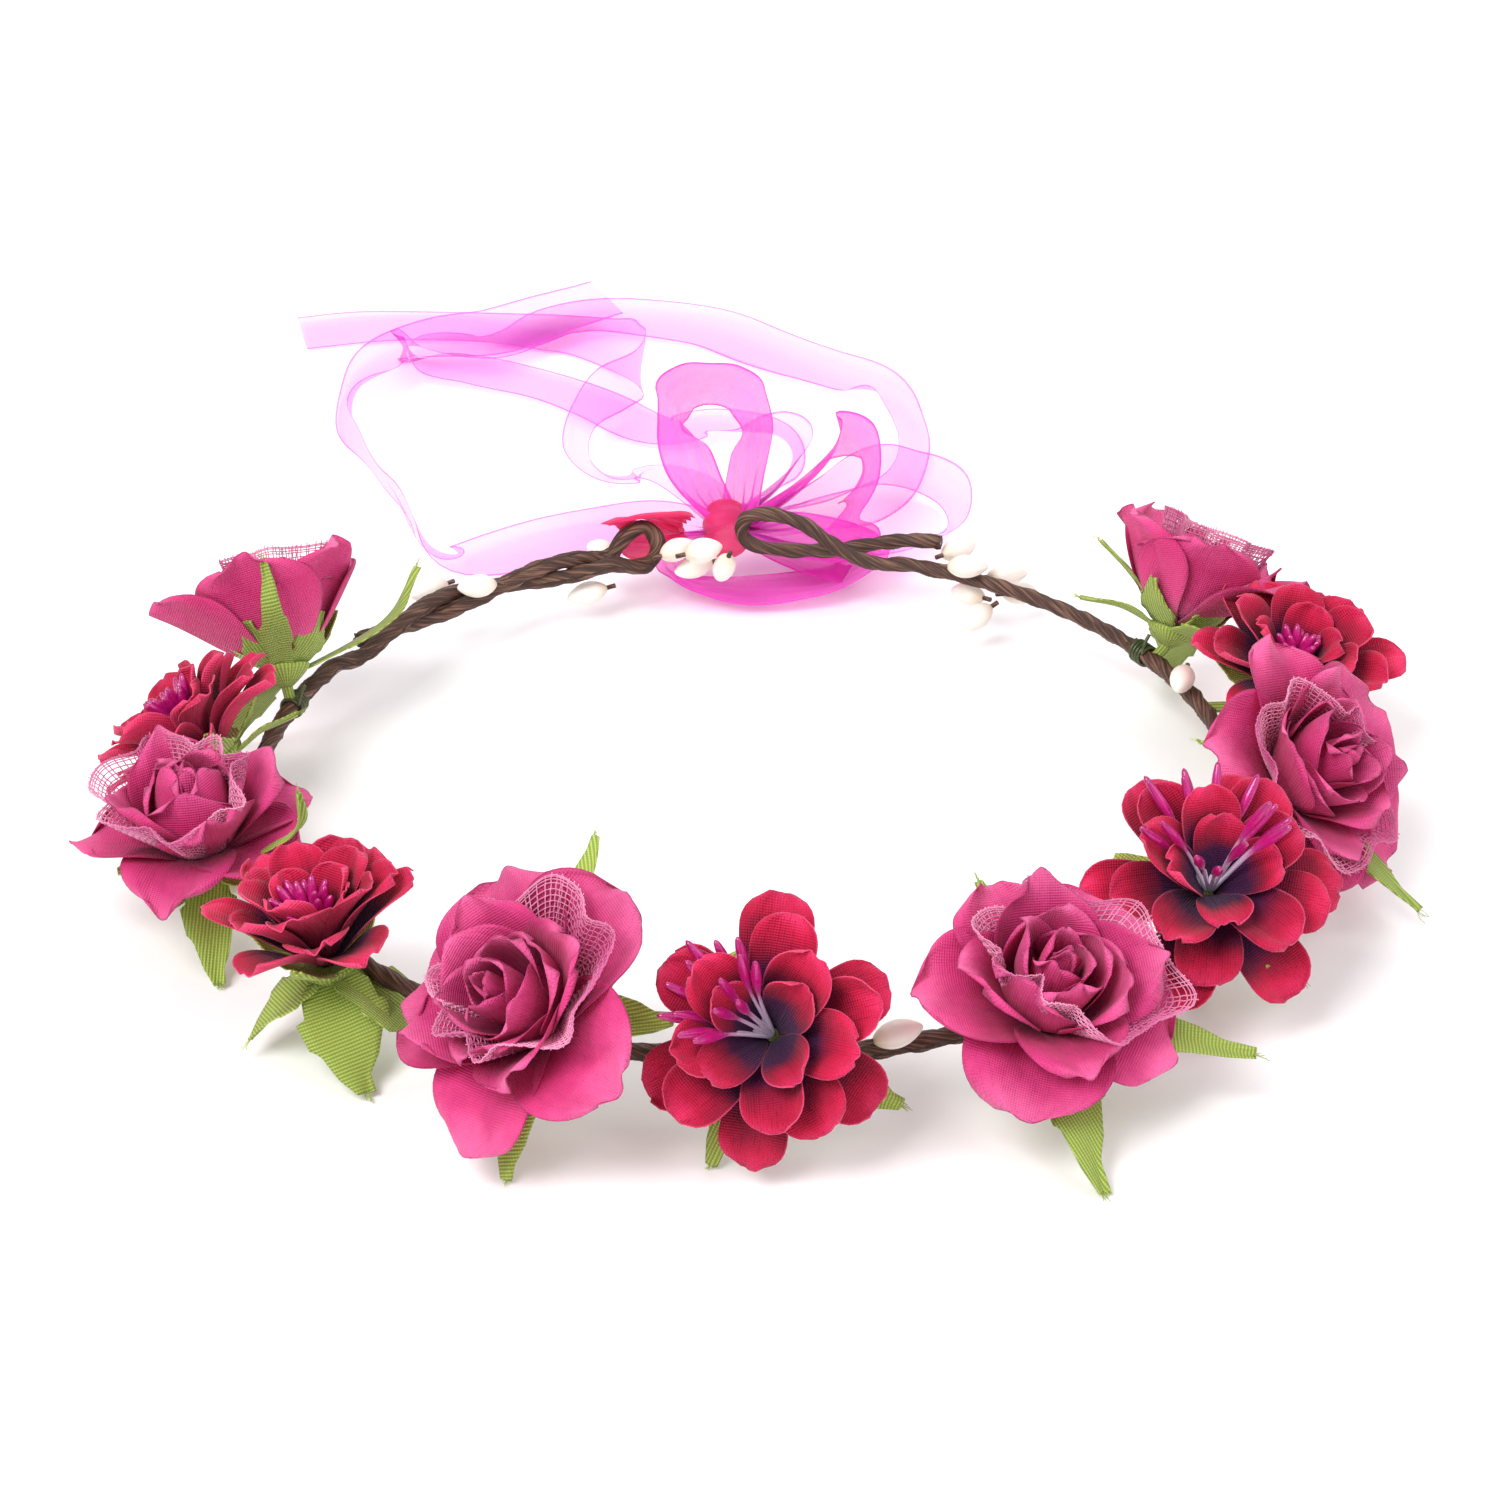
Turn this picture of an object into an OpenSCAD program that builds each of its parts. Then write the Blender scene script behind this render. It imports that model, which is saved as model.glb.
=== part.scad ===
// Flower crown: a wire hoop with fabric flowers in front and an organza bow between its rear ends.
// The hoop lies flat, +Z is up, the front is -Y and the bow is at +Y. The origin is the middle of
// the head opening on the resting plane. Millimetres.

/* [Hoop] */
// Radius of the hoop at the middle of its wire
hoop_r = 92; // [90:1:94]
// Height of the hoop's wire above the resting plane
hoop_z = 14; // [13:1:15]
// Radius of the paper-wrapped wire
wrap_r = 1.6; // [1.4:0.1:1.7]
// Radius of the steel core
core_r = 0.6; // [0.5:0.1:0.8]
// Angle of the left flex point, where the flowers end
left_flex = 158; // [156:1:160]
// Angle of the right flex point, where the flowers end
right_flex = 36; // [34:1:38]
// Gap in the wire at each flex point
flex_gap = 0.8; // [0.6:0.1:1.2]

/* [Roses] */
// Rim radius of the outer petals
rose_r = 19; // [17:1:20]
// Rim radius of the mesh frill
frill_r = 14; // [12:1:15]
// Thickness of the cloth as a plain solid
cloth_t = 0.7; // [0.5:0.1:1]

/* [Crimson flowers] */
// Rim radius of the lower petals
crimson_r = 15.5; // [14:0.5:17]
// Rim radius of the upper petals
upper_r = 10; // [9:0.5:11]
// Number of stamens in each bunch
stamen_count = 9; // [6:1:12]

/* [Leaves and buds] */
// Widest part of a leaf
leaf_w = 8; // [6:0.5:10]
// Length of the four short calyx lobes
lobe_l = 11; // [8:1:13]
// Length of a pip bud
bud_l = 9; // [8:0.5:10]
// Radius of a pip bud
bud_r = 2.4; // [2:0.1:2.6]

/* [Ribbon] */
// Width of the organza ribbon
ribbon_w = 15; // [12:1:16]
// Thickness of the ribbon as a plain solid
ribbon_t = 0.5; // [0.4:0.1:0.6]

/* [Hidden] */
$fn = 32;
touch = 0.05;          // clearance where one piece lies on another
stem_r = 0.6;          // wire stem of a flower
calyx_h = 4.2;         // height of the calyx cup
bowl_z = 4.4;          // foot of the outer petals on the stem
frill_z = 6.2;         // foot of the frill on the stem
heart_z = 7.6;         // foot of the heart on the stem
seat_r = 0.75;         // hole through a petal layer for the stem
wire_sides = 8;
twist_r = wrap_r + 0.15;   // how far each strand lies off the middle of a two-strand twist
twist_pitch = 18;          // degrees of hoop for half a turn of the twist
twist_from = 149;          // where the doubled-back strand ends
twist_to = 108;            // where the twist opens into the left loop

// A flower is [foot of its stem side, azimuth and elevation of its axis, turn about its axis,
// [tips of its long leaves]].
ROSES = [
    [[-89, 27, 18], 105, 52, 0, [[-66, 62, 23], [-84, 16, 38], [-104, 34, 0.2]]],
    [[-98, -33, 14], -125, 84, 20, [[-78, -32, 20], [-94, -50, 0.2]]],
    [[-31, -91, 20], -141, 44, 10, [[-26, -62, 32], [-50, -66, 28], [-12, -98, 26], [-40, -108, 0.2]]],
    [[49, -84, 15], -65, 66, 30, [[40, -62, 30], [59, -112, 0.2], [86, -88, 12]]],
    [[95, -15, 20], -34, 38, 0, [[84, -4, 24], [122, -34, 6]]],
    [[83, 47, 16], 52, 60, 40, [[66, 50, 20], [68, 61, 24], [92, 36, 20], [86, 66, 0.2]]]
];
CRIMSONS = [
    [[-96, 1, 16], 160, 44, 0, [[-108, 12, 0.2]]],
    [[-72, -67, 12], 160, 80, 20, [[-88, -76, 5], [-66, -88, 0.2]]],
    [[5, -93, 19], -100, 38, 0, [[-6, -104, 0.2], [26, -97, 8]]],
    [[80, -52, 19], -82, 54, 30, [[98, -56, 6]]],
    [[108, 30, 12], -60, 75, 0, [[97, 20, 14], [118, 44, 0.2]]]
];

// A bud is [foot on its wire stem, point that its stem starts from].
BUDS_FRONT = [
    [[21, -91.5, 17], [17, -92.5, 16.2]],
    [[78, -49, 10], [78, -49, 12.2]],
    [[-92, -28, 9], [-88, -27, 12.2]],
    [[85.6, 34.2, 18.3], [86, 35.6, 18.3]]
];
BUDS_LEFT = [
    [[-61.4, 77.6, 14], [-60.2, 78.6, 14]],
    [[-50.8, 70.7, 17.5], [-49.4, 71.4, 17.3]],
    [[-27, 92.6, 12], [-25.8, 91.5, 12]],
    [[-29, 87, 8], [-27.4, 87.4, 8.3]]
];
BUDS_LEFT_TIP = [
    [[-18, 85.8, 16], [-19.4, 84.6, 16]],
    [[-13, 82.6, 18], [-14.6, 81.8, 18]],
    [[-7.3, 92.7, 11], [-6, 93.5, 11]],
    [[-3.8, 83, 17.5], [-3.5, 82.4, 18.6]]
];
BUDS_RIGHT = [
    [[40.4, 87.2, 15.4], [39.2, 86.3, 15.4]],
    [[40.7, 77, 18.2], [39.2, 77, 18.2]],
    [[50.3, 81.4, 14], [48.6, 80.6, 14]],
    [[52.8, 83.2, 8.5], [51.5, 82.5, 8.8]],
    [[48.8, 79, 9.8], [50, 77.9, 10]],
    [[50.2, 75.5, 9.8], [51.4, 76.1, 10.4]]
];

// Middle lines of the wire at the two rear loops, from the hoop round the eye and back.
LEFT_EYE = [
    [-24, 87.5, 12.6], [-20.6, 90, 12], [-18.8, 92.4, 14], [-19.4, 94, 16.8], [-22, 94, 18.6],
    [-25.6, 92.2, 17]
];
RIGHT_EYE = [
    [27.5, 87.2, 13.4], [22, 88.6, 14.4], [17, 90, 17], [11.5, 91.8, 20.4], [6, 93, 21.8],
    [1.6, 93.8, 21.6], [-0.8, 94.2, 19.6], [-1, 94, 16.6], [2, 93.4, 14.4], [8, 93.2, 13.6],
    [15, 93.2, 13.4], [21, 92.8, 14.2], [28, 91, 16.4], [34, 89.4, 17.8], [40, 87.4, 18.4]
];

// Ribbon routes: middle line and tilt about it. Tilt 0 lies flat and 90 stands on its edge.
FRONT_TAIL = [
    [-12, 116, 7, 15], [-21, 124, 4, 15], [-32, 123, 2.8, 15], [-44, 118, 2.8, 15], [-53, 112, 3.2, 12],
    [-61, 105, 5, -3], [-68, 110, 7.4, -57], [-73, 120, 8.2, -75], [-77, 132, 8.2, -68],
    [-83, 147, 8.2, -72], [-88, 162, 8.2, -78], [-90, 177, 8, -120], [-88, 196, 6, -156],
    [-84, 211, 6.4, -177], [-73, 218, 7.6, -184], [-59, 220, 8, -184], [-45, 230, 8, -184],
    [-34, 237, 8, -184]
];
BACK_TAIL = [
    [-12, 122, 14, -9], [-20, 133, 12, -9], [-28, 134, 11, -18], [-35, 142, 10.6, -40],
    [-37, 156, 11, -78], [-34, 173, 11, -96], [-27, 183, 11, -99], [-24, 192, 10.4, -90],
    [-26, 206, 7.6, -112], [-38, 222, 1.3, -176], [-55, 231, 1, -180], [-74, 235, 1, -180],
    [-91, 234, 1, -180], [-107, 230, 1, -180]
];
LONG_LOOP_OUT = [
    [6, 126, 10, -130], [11, 149, 9, -105], [5, 166, 6, -20], [-7, 177, 3, -6], [-20, 176, 1.2, 0],
    [-34, 189, 1.2, 0], [-48, 200, 1.4, 0], [-63, 206, 2, 0], [-75, 208, 2.4, 0]
];
LONG_LOOP_BACK = [
    [-78, 215, 4, 0], [-63, 214, 4, 0], [-54, 222, 4, 0], [-45, 230, 4, 0], [-31, 235, 3, 0],
    [-11, 231, 2.5, -6], [3, 219, 3, -12], [17, 205, 4, -9], [28, 194, 5, -3], [34, 180, 7, 36],
    [36, 162, 8.2, 50], [34, 149, 8.2, 70]
];
UPRIGHT_LOOP = [
    [-1, 113, 18, 42], [1, 124, 24, 48], [1, 133, 28.6, 80], [-1, 136, 31, 118], [-8, 134, 32, 117],
    [-15, 136, 31, 114], [-16, 133, 28.6, 72], [-14, 126, 24, 32], [-11, 118, 18, 18]
];
SIDE_LOOP_INNER = [
    [10, 116, 18, -132], [16, 126, 19, -126], [19, 134, 19.6, -114], [23, 135, 20, -112],
    [26, 129, 19, -78], [24, 118, 17, -48], [22, 112, 12, -45], [21, 108, 7, -24]
];
SIDE_LOOP_OUTER = [
    [42, 139, 8.2, -110], [46, 127, 8.2, -72], [43, 117, 6, -34], [35, 112, 4, -15], [25, 108, 2, -5]
];
DROOP_LOOP = [[-13, 99, 5, 20], [-8, 98, 2.4, 10], [0, 97.5, 1, 0], [9, 98, 1, 0], [18, 100, 1, 0]];
EYE_BAND = [[-27, 97, 13.4, 70], [-21.6, 98.6, 14, 80], [-16, 99.8, 14.4, 80]];

function unit(v) = v / norm(v);
function on_hoop(angle, out = 0, up = 0) =
    [(hoop_r + out) * cos(angle), (hoop_r + out) * sin(angle), hoop_z + up];
function aim(azimuth, elevation) =
    [cos(elevation) * cos(azimuth), cos(elevation) * sin(azimuth), sin(elevation)];
function hoop_below(p) = on_hoop(atan2(p[1], p[0]));

// One strand of the two-strand twist; start turns it about the middle line.
function twist_strand(from, to, start) =
    let(step = (to - from) / ceil(abs(to - from) / 3))
    [for (a = [from:step:to + step / 2])
        let(turn = start + 180 * (a - twist_to) / twist_pitch)
        on_hoop(a, twist_r * cos(turn), twist_r * sin(turn))];

LEFT_LINE = concat(
    [for (a = [left_flex - 0.25:-3:twist_from + 3]) on_hoop(a)],
    twist_strand(twist_from - 1, twist_to, 180),
    LEFT_EYE,
    twist_strand(twist_to, twist_from - 3, 0)
);
RIGHT_LINE = concat([for (a = [right_flex + 0.25:4:69]) on_hoop(a)], RIGHT_EYE);

// Direction of a route at point i.
function heading(line, i) =
    let(a = line[max(i - 1, 0)], b = line[min(i + 1, len(line) - 1)])
    unit([b[0] - a[0], b[1] - a[1], b[2] - a[2]]);
function place(p) = [p[0], p[1], p[2]];

// Ring of points round a wire, and its four corners round a ribbon.
function wire_ring(line, i, r) =
    let(t = heading(line, i), s = unit(cross(t, [0, 0, 1])), n = cross(s, t))
    [for (k = [0:wire_sides - 1])
        let(a = 360 * k / wire_sides)
        place(line[i]) + r * cos(a) * s + r * sin(a) * n];
function ribbon_ring(line, i) =
    let(
        t = heading(line, i), s = unit(cross(t, [0, 0, 1])), n = cross(s, t), tilt = line[i][3],
        across = (cos(tilt) * s + sin(tilt) * n) * ribbon_w / 2,
        thick = (cos(tilt) * n - sin(tilt) * s) * ribbon_t / 2
    )
    [place(line[i]) + across + thick, place(line[i]) - across + thick,
     place(line[i]) - across - thick, place(line[i]) + across - thick];

// Triangles of a skin over rings of n points: its sides from point number start, and its ends.
// The two halves of a ring are cut along the same diagonals, so that a twisted ribbon stays thick.
function side_faces(rings, n, start = 0) =
    [for (i = [0:rings - 2], k = [0:n - 1])
        let(
            a = start + i * n + k, d = start + i * n + (k + 1) % n,
            b = a + n, c = d + n
        )
        each (k < n / 2 ? [[a, c, b], [a, d, c]] : [[a, d, b], [b, d, c]])];
function end_faces(rings, n) = concat(
    [for (k = [1:n - 2]) [0, k + 1, k]],
    [for (k = [1:n - 2]) let(e = (rings - 1) * n) [e, e + k, e + k + 1]]
);
function rim_faces(outer, inner, n) = concat(
    [for (k = [0:n - 1]) [outer + k, inner + (k + 1) % n, outer + (k + 1) % n]],
    [for (k = [0:n - 1]) [outer + k, inner + k, inner + (k + 1) % n]]
);
function flip(faces) = [for (f = faces) [f[2], f[1], f[0]]];
function wire_points(line, r) = [for (i = [0:len(line) - 1]) each wire_ring(line, i, r)];

module wire(line, r) {
    polyhedron(
        wire_points(line, r),
        concat(side_faces(len(line), wire_sides), end_faces(len(line), wire_sides))
    );
}

// Hollow wrap round a wire, open at both ends.
module sleeve(line, r, bore) {
    n = len(line);
    inner = n * wire_sides;
    last = (n - 1) * wire_sides;
    polyhedron(
        concat(wire_points(line, r), wire_points(line, bore)),
        concat(
            side_faces(n, wire_sides),
            flip(side_faces(n, wire_sides, inner)),
            rim_faces(0, inner, wire_sides),
            flip(rim_faces(last, inner + last, wire_sides))
        )
    );
}

module ribbon(line) {
    rings = [for (i = [0:len(line) - 1]) each ribbon_ring(line, i)];
    color("hotpink", 0.6)
        polyhedron(rings, concat(side_faces(len(line), 4), end_faces(len(line), 4)));
}

module rod(a, b, r) {
    v = b - a;
    translate(a)
        rotate([0, acos(v[2] / norm(v)), atan2(v[1], v[0])])
            cylinder(r = r, h = norm(v), $fn = 16);
}

module at_flower(f) {
    translate(f[0]) rotate([0, 90 - f[2], f[1]]) rotate([0, 0, f[3]]) children();
}

// Straight leaf with stepped shoulders, from a to its tip b, as flat as it can lie to the axis.
module leaf(a, b, axis) {
    length = norm(b - a);
    t = (b - a) / length;
    s = unit(cross(axis, t));
    n = cross(t, s);
    outline = [
        [0, -0.2], [0.35, -0.3], [0.4, -0.5], [0.6, -0.45], [1, -0.04],
        [1, 0.04], [0.6, 0.45], [0.4, 0.5], [0.35, 0.3], [0, 0.2]
    ];
    multmatrix([
        [t[0], s[0], n[0], a[0]], [t[1], s[1], n[1], a[1]], [t[2], s[2], n[2], a[2]], [0, 0, 0, 1]
    ])
        linear_extrude(0.5) polygon([for (p = outline) [p[0] * length, p[1] * leaf_w]]);
}

// Calyx cup with four short lobes, its long leaves and its stem down to the hoop.
module calyx(f) {
    foot = hoop_below(f[0]);
    away = unit(f[0] - foot);
    axis = aim(f[1], f[2]);
    color("yellowgreen") {
        at_flower(f) {
            rotate_extrude() polygon([[0, 0], [1, 0], [5, calyx_h - 0.6], [5, calyx_h], [0, calyx_h]]);
            cylinder(r = stem_r, h = heart_z);
            for (k = [0:3])
                rotate([0, 0, 45 + 90 * k])
                    translate([3.4, 0, calyx_h - 0.5])
                        rotate([0, -18, 0])
                            linear_extrude(0.5)
                                polygon([
                                    [0, -2], [lobe_l * 0.5, -2.6], [lobe_l, 0],
                                    [lobe_l * 0.5, 2.6], [0, 2]
                                ]);
        }
        for (tip = f[4]) leaf(f[0] + 2.2 * axis, tip, axis);
        rod(foot + away * (wrap_r + touch), f[0] + axis, 0.8);
    }
}

// Bowl of petals: a curved shell of revolution with a slot between neighbouring petals.
module petal_bowl(r, z, rise, petals, slot, power = 1.5) {
    steps = 8;
    under = [for (i = [0:steps])
        let(q = seat_r + (r - seat_r) * i / steps)
        [q, z + rise * pow(q / r, power)]];
    difference() {
        rotate_extrude()
            polygon(concat(under, [for (i = [steps:-1:0]) under[i] + [0, cloth_t]]));
        for (k = [0:petals - 1])
            rotate([0, 0, 360 * (k + 0.5) / petals])
                translate([r, 0, z + rise])
                    rotate([0, 0, 45])
                        cube([slot, slot, 2 * rise], center = true);
    }
}

module outer_petals(f) color("mediumvioletred") at_flower(f) petal_bowl(rose_r, bowl_z, 10, 5, 7);
module mesh_frill(f) color("pink") at_flower(f) petal_bowl(frill_r, frill_z, 10, 9, 2.5);

module heart(f) {
    color("palevioletred")
        at_flower(f)
            rotate_extrude()
                polygon([
                    [0, heart_z], [1.5, heart_z], [2.8, 8.6], [4.6, 10.4], [6.4, 13], [7, 16], [6.4, 19],
                    [5.4, 20.5], [5, 17.5], [4.2, 17.5], [3.8, 21], [3, 21], [2.6, 18], [1.8, 18],
                    [1.2, 21.5], [0, 21.5]
                ]);
}

module crimson_petals(f) {
    color("crimson")
        at_flower(f) {
            petal_bowl(crimson_r, bowl_z, 7, 6, 5);
            rotate([0, 0, 30]) petal_bowl(upper_r, bowl_z + 1.4, 7.5, 6, 3);
        }
}

module stamens(f) {
    color("deeppink")
        at_flower(f)
            translate([0, 0, heart_z]) {
                cylinder(r = 2.2, h = 1.2);
                for (k = [0:stamen_count - 1])
                    rotate([0, 0, 360 * k / stamen_count])
                        translate([1.5, 0, 0.5])
                            rotate([0, 10 + 12 * (k % 3), 0])
                                rotate_extrude()
                                    polygon([[0, 0], [0.3, 0], [0.3, 11], [0.7, 12], [0.7, 15], [0, 16]]);
            }
}

// Egg-shaped pip bud with its short wire stem.
module bud(b) {
    stem = norm(b[0] - b[1]);
    v = (b[0] - b[1]) / stem;
    egg = [for (a = [15:15:165]) [bud_r * sin(a) * (1 + 0.18 * cos(a)), bud_l / 2 * (1 - cos(a))]];
    translate(b[0])
        rotate([0, acos(v[2]), atan2(v[1], v[0])])
            rotate_extrude()
                polygon(concat([[0, -stem], [0.4, -stem], [0.4, 0.1]], egg, [[0, bud_l]]));
}

module buds(list) color("ivory") for (b = list) bud(b);

module garland_arc(r) {
    rotate([0, 0, left_flex + flex_gap / 3])
        rotate_extrude(angle = 360 - left_flex + right_flex - 2 * flex_gap / 3, $fn = 96)
            translate([hoop_r, 0]) circle(r = r, $fn = 24);
}

module garland_core() color("silver") translate([0, 0, hoop_z]) garland_arc(core_r);
module garland_wrap() {
    color("saddlebrown")
        translate([0, 0, hoop_z])
            difference() {
                garland_arc(wrap_r);
                garland_arc(core_r);
            }
}

module arm_core(line) color("silver") wire(line, core_r);
module arm_wrap(line) color("saddlebrown") sleeve(line, wrap_r, core_r);

// Rings of binding wire round the garland beside a flex point.
module binding(from, step) {
    color("darkgreen")
        for (k = [0:2])
            translate(on_hoop(from + step * k))
                rotate([90, 0, from + step * k])
                    rotate_extrude() translate([wrap_r + 0.45, 0]) circle(r = 0.4, $fn = 16);
}

module knot() {
    color("deeppink")
        translate([-4.5, 105, 12.5])
            rotate([-50, 0, 0])
                rotate_extrude() polygon([[0, -6], [3.4, -5.5], [4.6, 0], [3.4, 5.5], [0, 6]]);
}

garland_core();
garland_wrap();
arm_core(LEFT_LINE);  // left_arm_core
arm_wrap(LEFT_LINE);  // left_arm_wrap
arm_core(RIGHT_LINE);  // right_arm_core
arm_wrap(RIGHT_LINE);  // right_arm_wrap
binding(left_flex + 1.4, 0.6);  // left_binding
binding(right_flex - 1.4, -0.6);  // right_binding
for (k = [0:5]) {
    calyx(ROSES[k]);
    outer_petals(ROSES[k]);
    mesh_frill(ROSES[k]);
    heart(ROSES[k]);
}
for (k = [0:4]) {
    calyx(CRIMSONS[k]);
    crimson_petals(CRIMSONS[k]);
    stamens(CRIMSONS[k]);
}
buds(BUDS_FRONT);  // front_buds
buds(BUDS_LEFT);  // left_buds
buds(BUDS_RIGHT);  // right_buds
buds(BUDS_LEFT_TIP);  // left_tip_buds
knot();  // ribbon_knot
ribbon(UPRIGHT_LOOP);  // upright_loop
union() {  // side_loops
    ribbon(SIDE_LOOP_INNER);
    ribbon(SIDE_LOOP_OUTER);
    ribbon(DROOP_LOOP);
}
union() {  // long_loop
    ribbon(LONG_LOOP_OUT);
    ribbon(LONG_LOOP_BACK);
}
ribbon(FRONT_TAIL);  // front_tail
ribbon(BACK_TAIL);  // back_tail
ribbon(EYE_BAND);  // eye_band
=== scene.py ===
# Looks of the flower crown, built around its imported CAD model. Shapes are worked out in millimetres
# in the row frame and turned into metres when a piece is made.
import math

import bpy
import numpy as np
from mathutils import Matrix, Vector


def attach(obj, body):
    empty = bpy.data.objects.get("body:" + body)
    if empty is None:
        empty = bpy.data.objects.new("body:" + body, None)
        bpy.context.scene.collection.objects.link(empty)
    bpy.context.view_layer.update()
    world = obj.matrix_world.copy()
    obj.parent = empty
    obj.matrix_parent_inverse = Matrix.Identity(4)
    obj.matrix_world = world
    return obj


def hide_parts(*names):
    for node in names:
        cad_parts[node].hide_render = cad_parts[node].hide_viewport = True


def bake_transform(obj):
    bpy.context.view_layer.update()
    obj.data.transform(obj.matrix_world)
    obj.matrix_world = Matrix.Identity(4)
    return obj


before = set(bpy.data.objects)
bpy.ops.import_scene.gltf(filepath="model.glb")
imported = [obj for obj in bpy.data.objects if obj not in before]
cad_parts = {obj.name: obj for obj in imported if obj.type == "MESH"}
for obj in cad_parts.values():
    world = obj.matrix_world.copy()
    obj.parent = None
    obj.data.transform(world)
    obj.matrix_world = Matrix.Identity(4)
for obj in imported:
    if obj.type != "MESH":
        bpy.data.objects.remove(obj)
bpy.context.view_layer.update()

# ---- driving sizes, in millimetres
MM = 0.001
HOOP_R = 92
HOOP_Z = 14
WRAP_R = 1.6
ARM_R = 1.45              # right arm, where the wire carries no second strand
LEFT_FLEX = 158           # degrees round the hoop, as are the next five
RIGHT_FLEX = 36
FLEX_BLEND = 2.2          # offset from a flex point towards the garland, where the garland's wrap and an arm's meet
TWIST_PITCH = 18          # over which a strand of the left arm makes half a turn
TWIST_FROM = 149
TWIST_TO = 108
CALYX_H = 4.2             # heights above a flower's foot
BOWL_Z = 4.4
FRILL_Z = 7.2
HEART_Z = 7.6
PETAL_T = 0.22
FRILL_FOOT_R = 6.0
FRILL_R = 15              # mean radius of the netting
NET_PITCH = 0.9
NET_THREAD_R = 0.13
LEAF_W = 10.5
LEAF_T = 0.3
STANDING = 18             # height of a tip up the flower's axis that makes a leaf a standing one
BUD_L = 9.0
BUD_R = 2.5
RIBBON_W = 15.5
RIBBON_T = 0.1
EYE_BAND_W = 10
KNOT = (-4.5, 105, 12.5)
KNOT_R = 4.5
KNOT_HALF_L = 6.2
CLOTH_Z = 0.4             # petals and leaves come no lower than this
THREAD_Z = 0.3            # and ribbon and loose threads no lower than this

# ---- camera, light and floor
CAMERA_AT = (0.56, -632.24, 390.82)
CAMERA_ON = (0.56, 2.57, 18.38)
CAMERA_LENS = 94.0


def aim(data, place, target=(0, 0, 0)):
    """A camera or lamp at a place that looks at a target, both in metres."""
    made = bpy.data.objects.new(data.name, data)
    made.location = place
    made.rotation_euler = (Vector(target) - made.location).to_track_quat("-Z", "Y").to_euler()
    bpy.context.scene.collection.objects.link(made)
    return made


def make_camera():
    data = bpy.data.cameras.new("camera")
    data.lens = CAMERA_LENS
    data.sensor_width = 36
    bpy.context.scene.camera = aim(data, np.array(CAMERA_AT) * MM, np.array(CAMERA_ON) * MM)


def make_light(name, place, size, power):
    data = bpy.data.lights.new(name, "AREA")
    data.size = size
    data.energy = power
    aim(data, place)


def make_studio():
    scene = bpy.context.scene
    scene.view_settings.view_transform = "Standard"
    world = bpy.data.worlds.new("studio")
    world.use_nodes = True
    background = world.node_tree.nodes["Background"]
    background.inputs["Color"].default_value = (1, 1, 1, 1)
    background.inputs["Strength"].default_value = 0.62
    scene.world = world
    make_light("key", (-0.7, -0.9, 1.3), 0.8, 24)
    make_light("fill", (0.9, -0.5, 0.9), 1.2, 7)
    make_light("back", (0.1, 1.1, 1.0), 1.0, 7)
    bpy.ops.mesh.primitive_plane_add(size=8, location=(0, 0, -0.0004))
    floor = bpy.context.object
    floor.name = "floor"
    paint = Shader("floor_paint")
    floor.data.materials.append(paint.close(paint.principled((249, 248, 249), 0.8)))


# ---- materials
def srgb(r, g, b):
    """Linear colour of an sRGB colour given from 0 to 255."""
    return tuple(((c / 255 + 0.055) / 1.055) ** 2.4 for c in (r, g, b)) + (1.0,)


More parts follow.
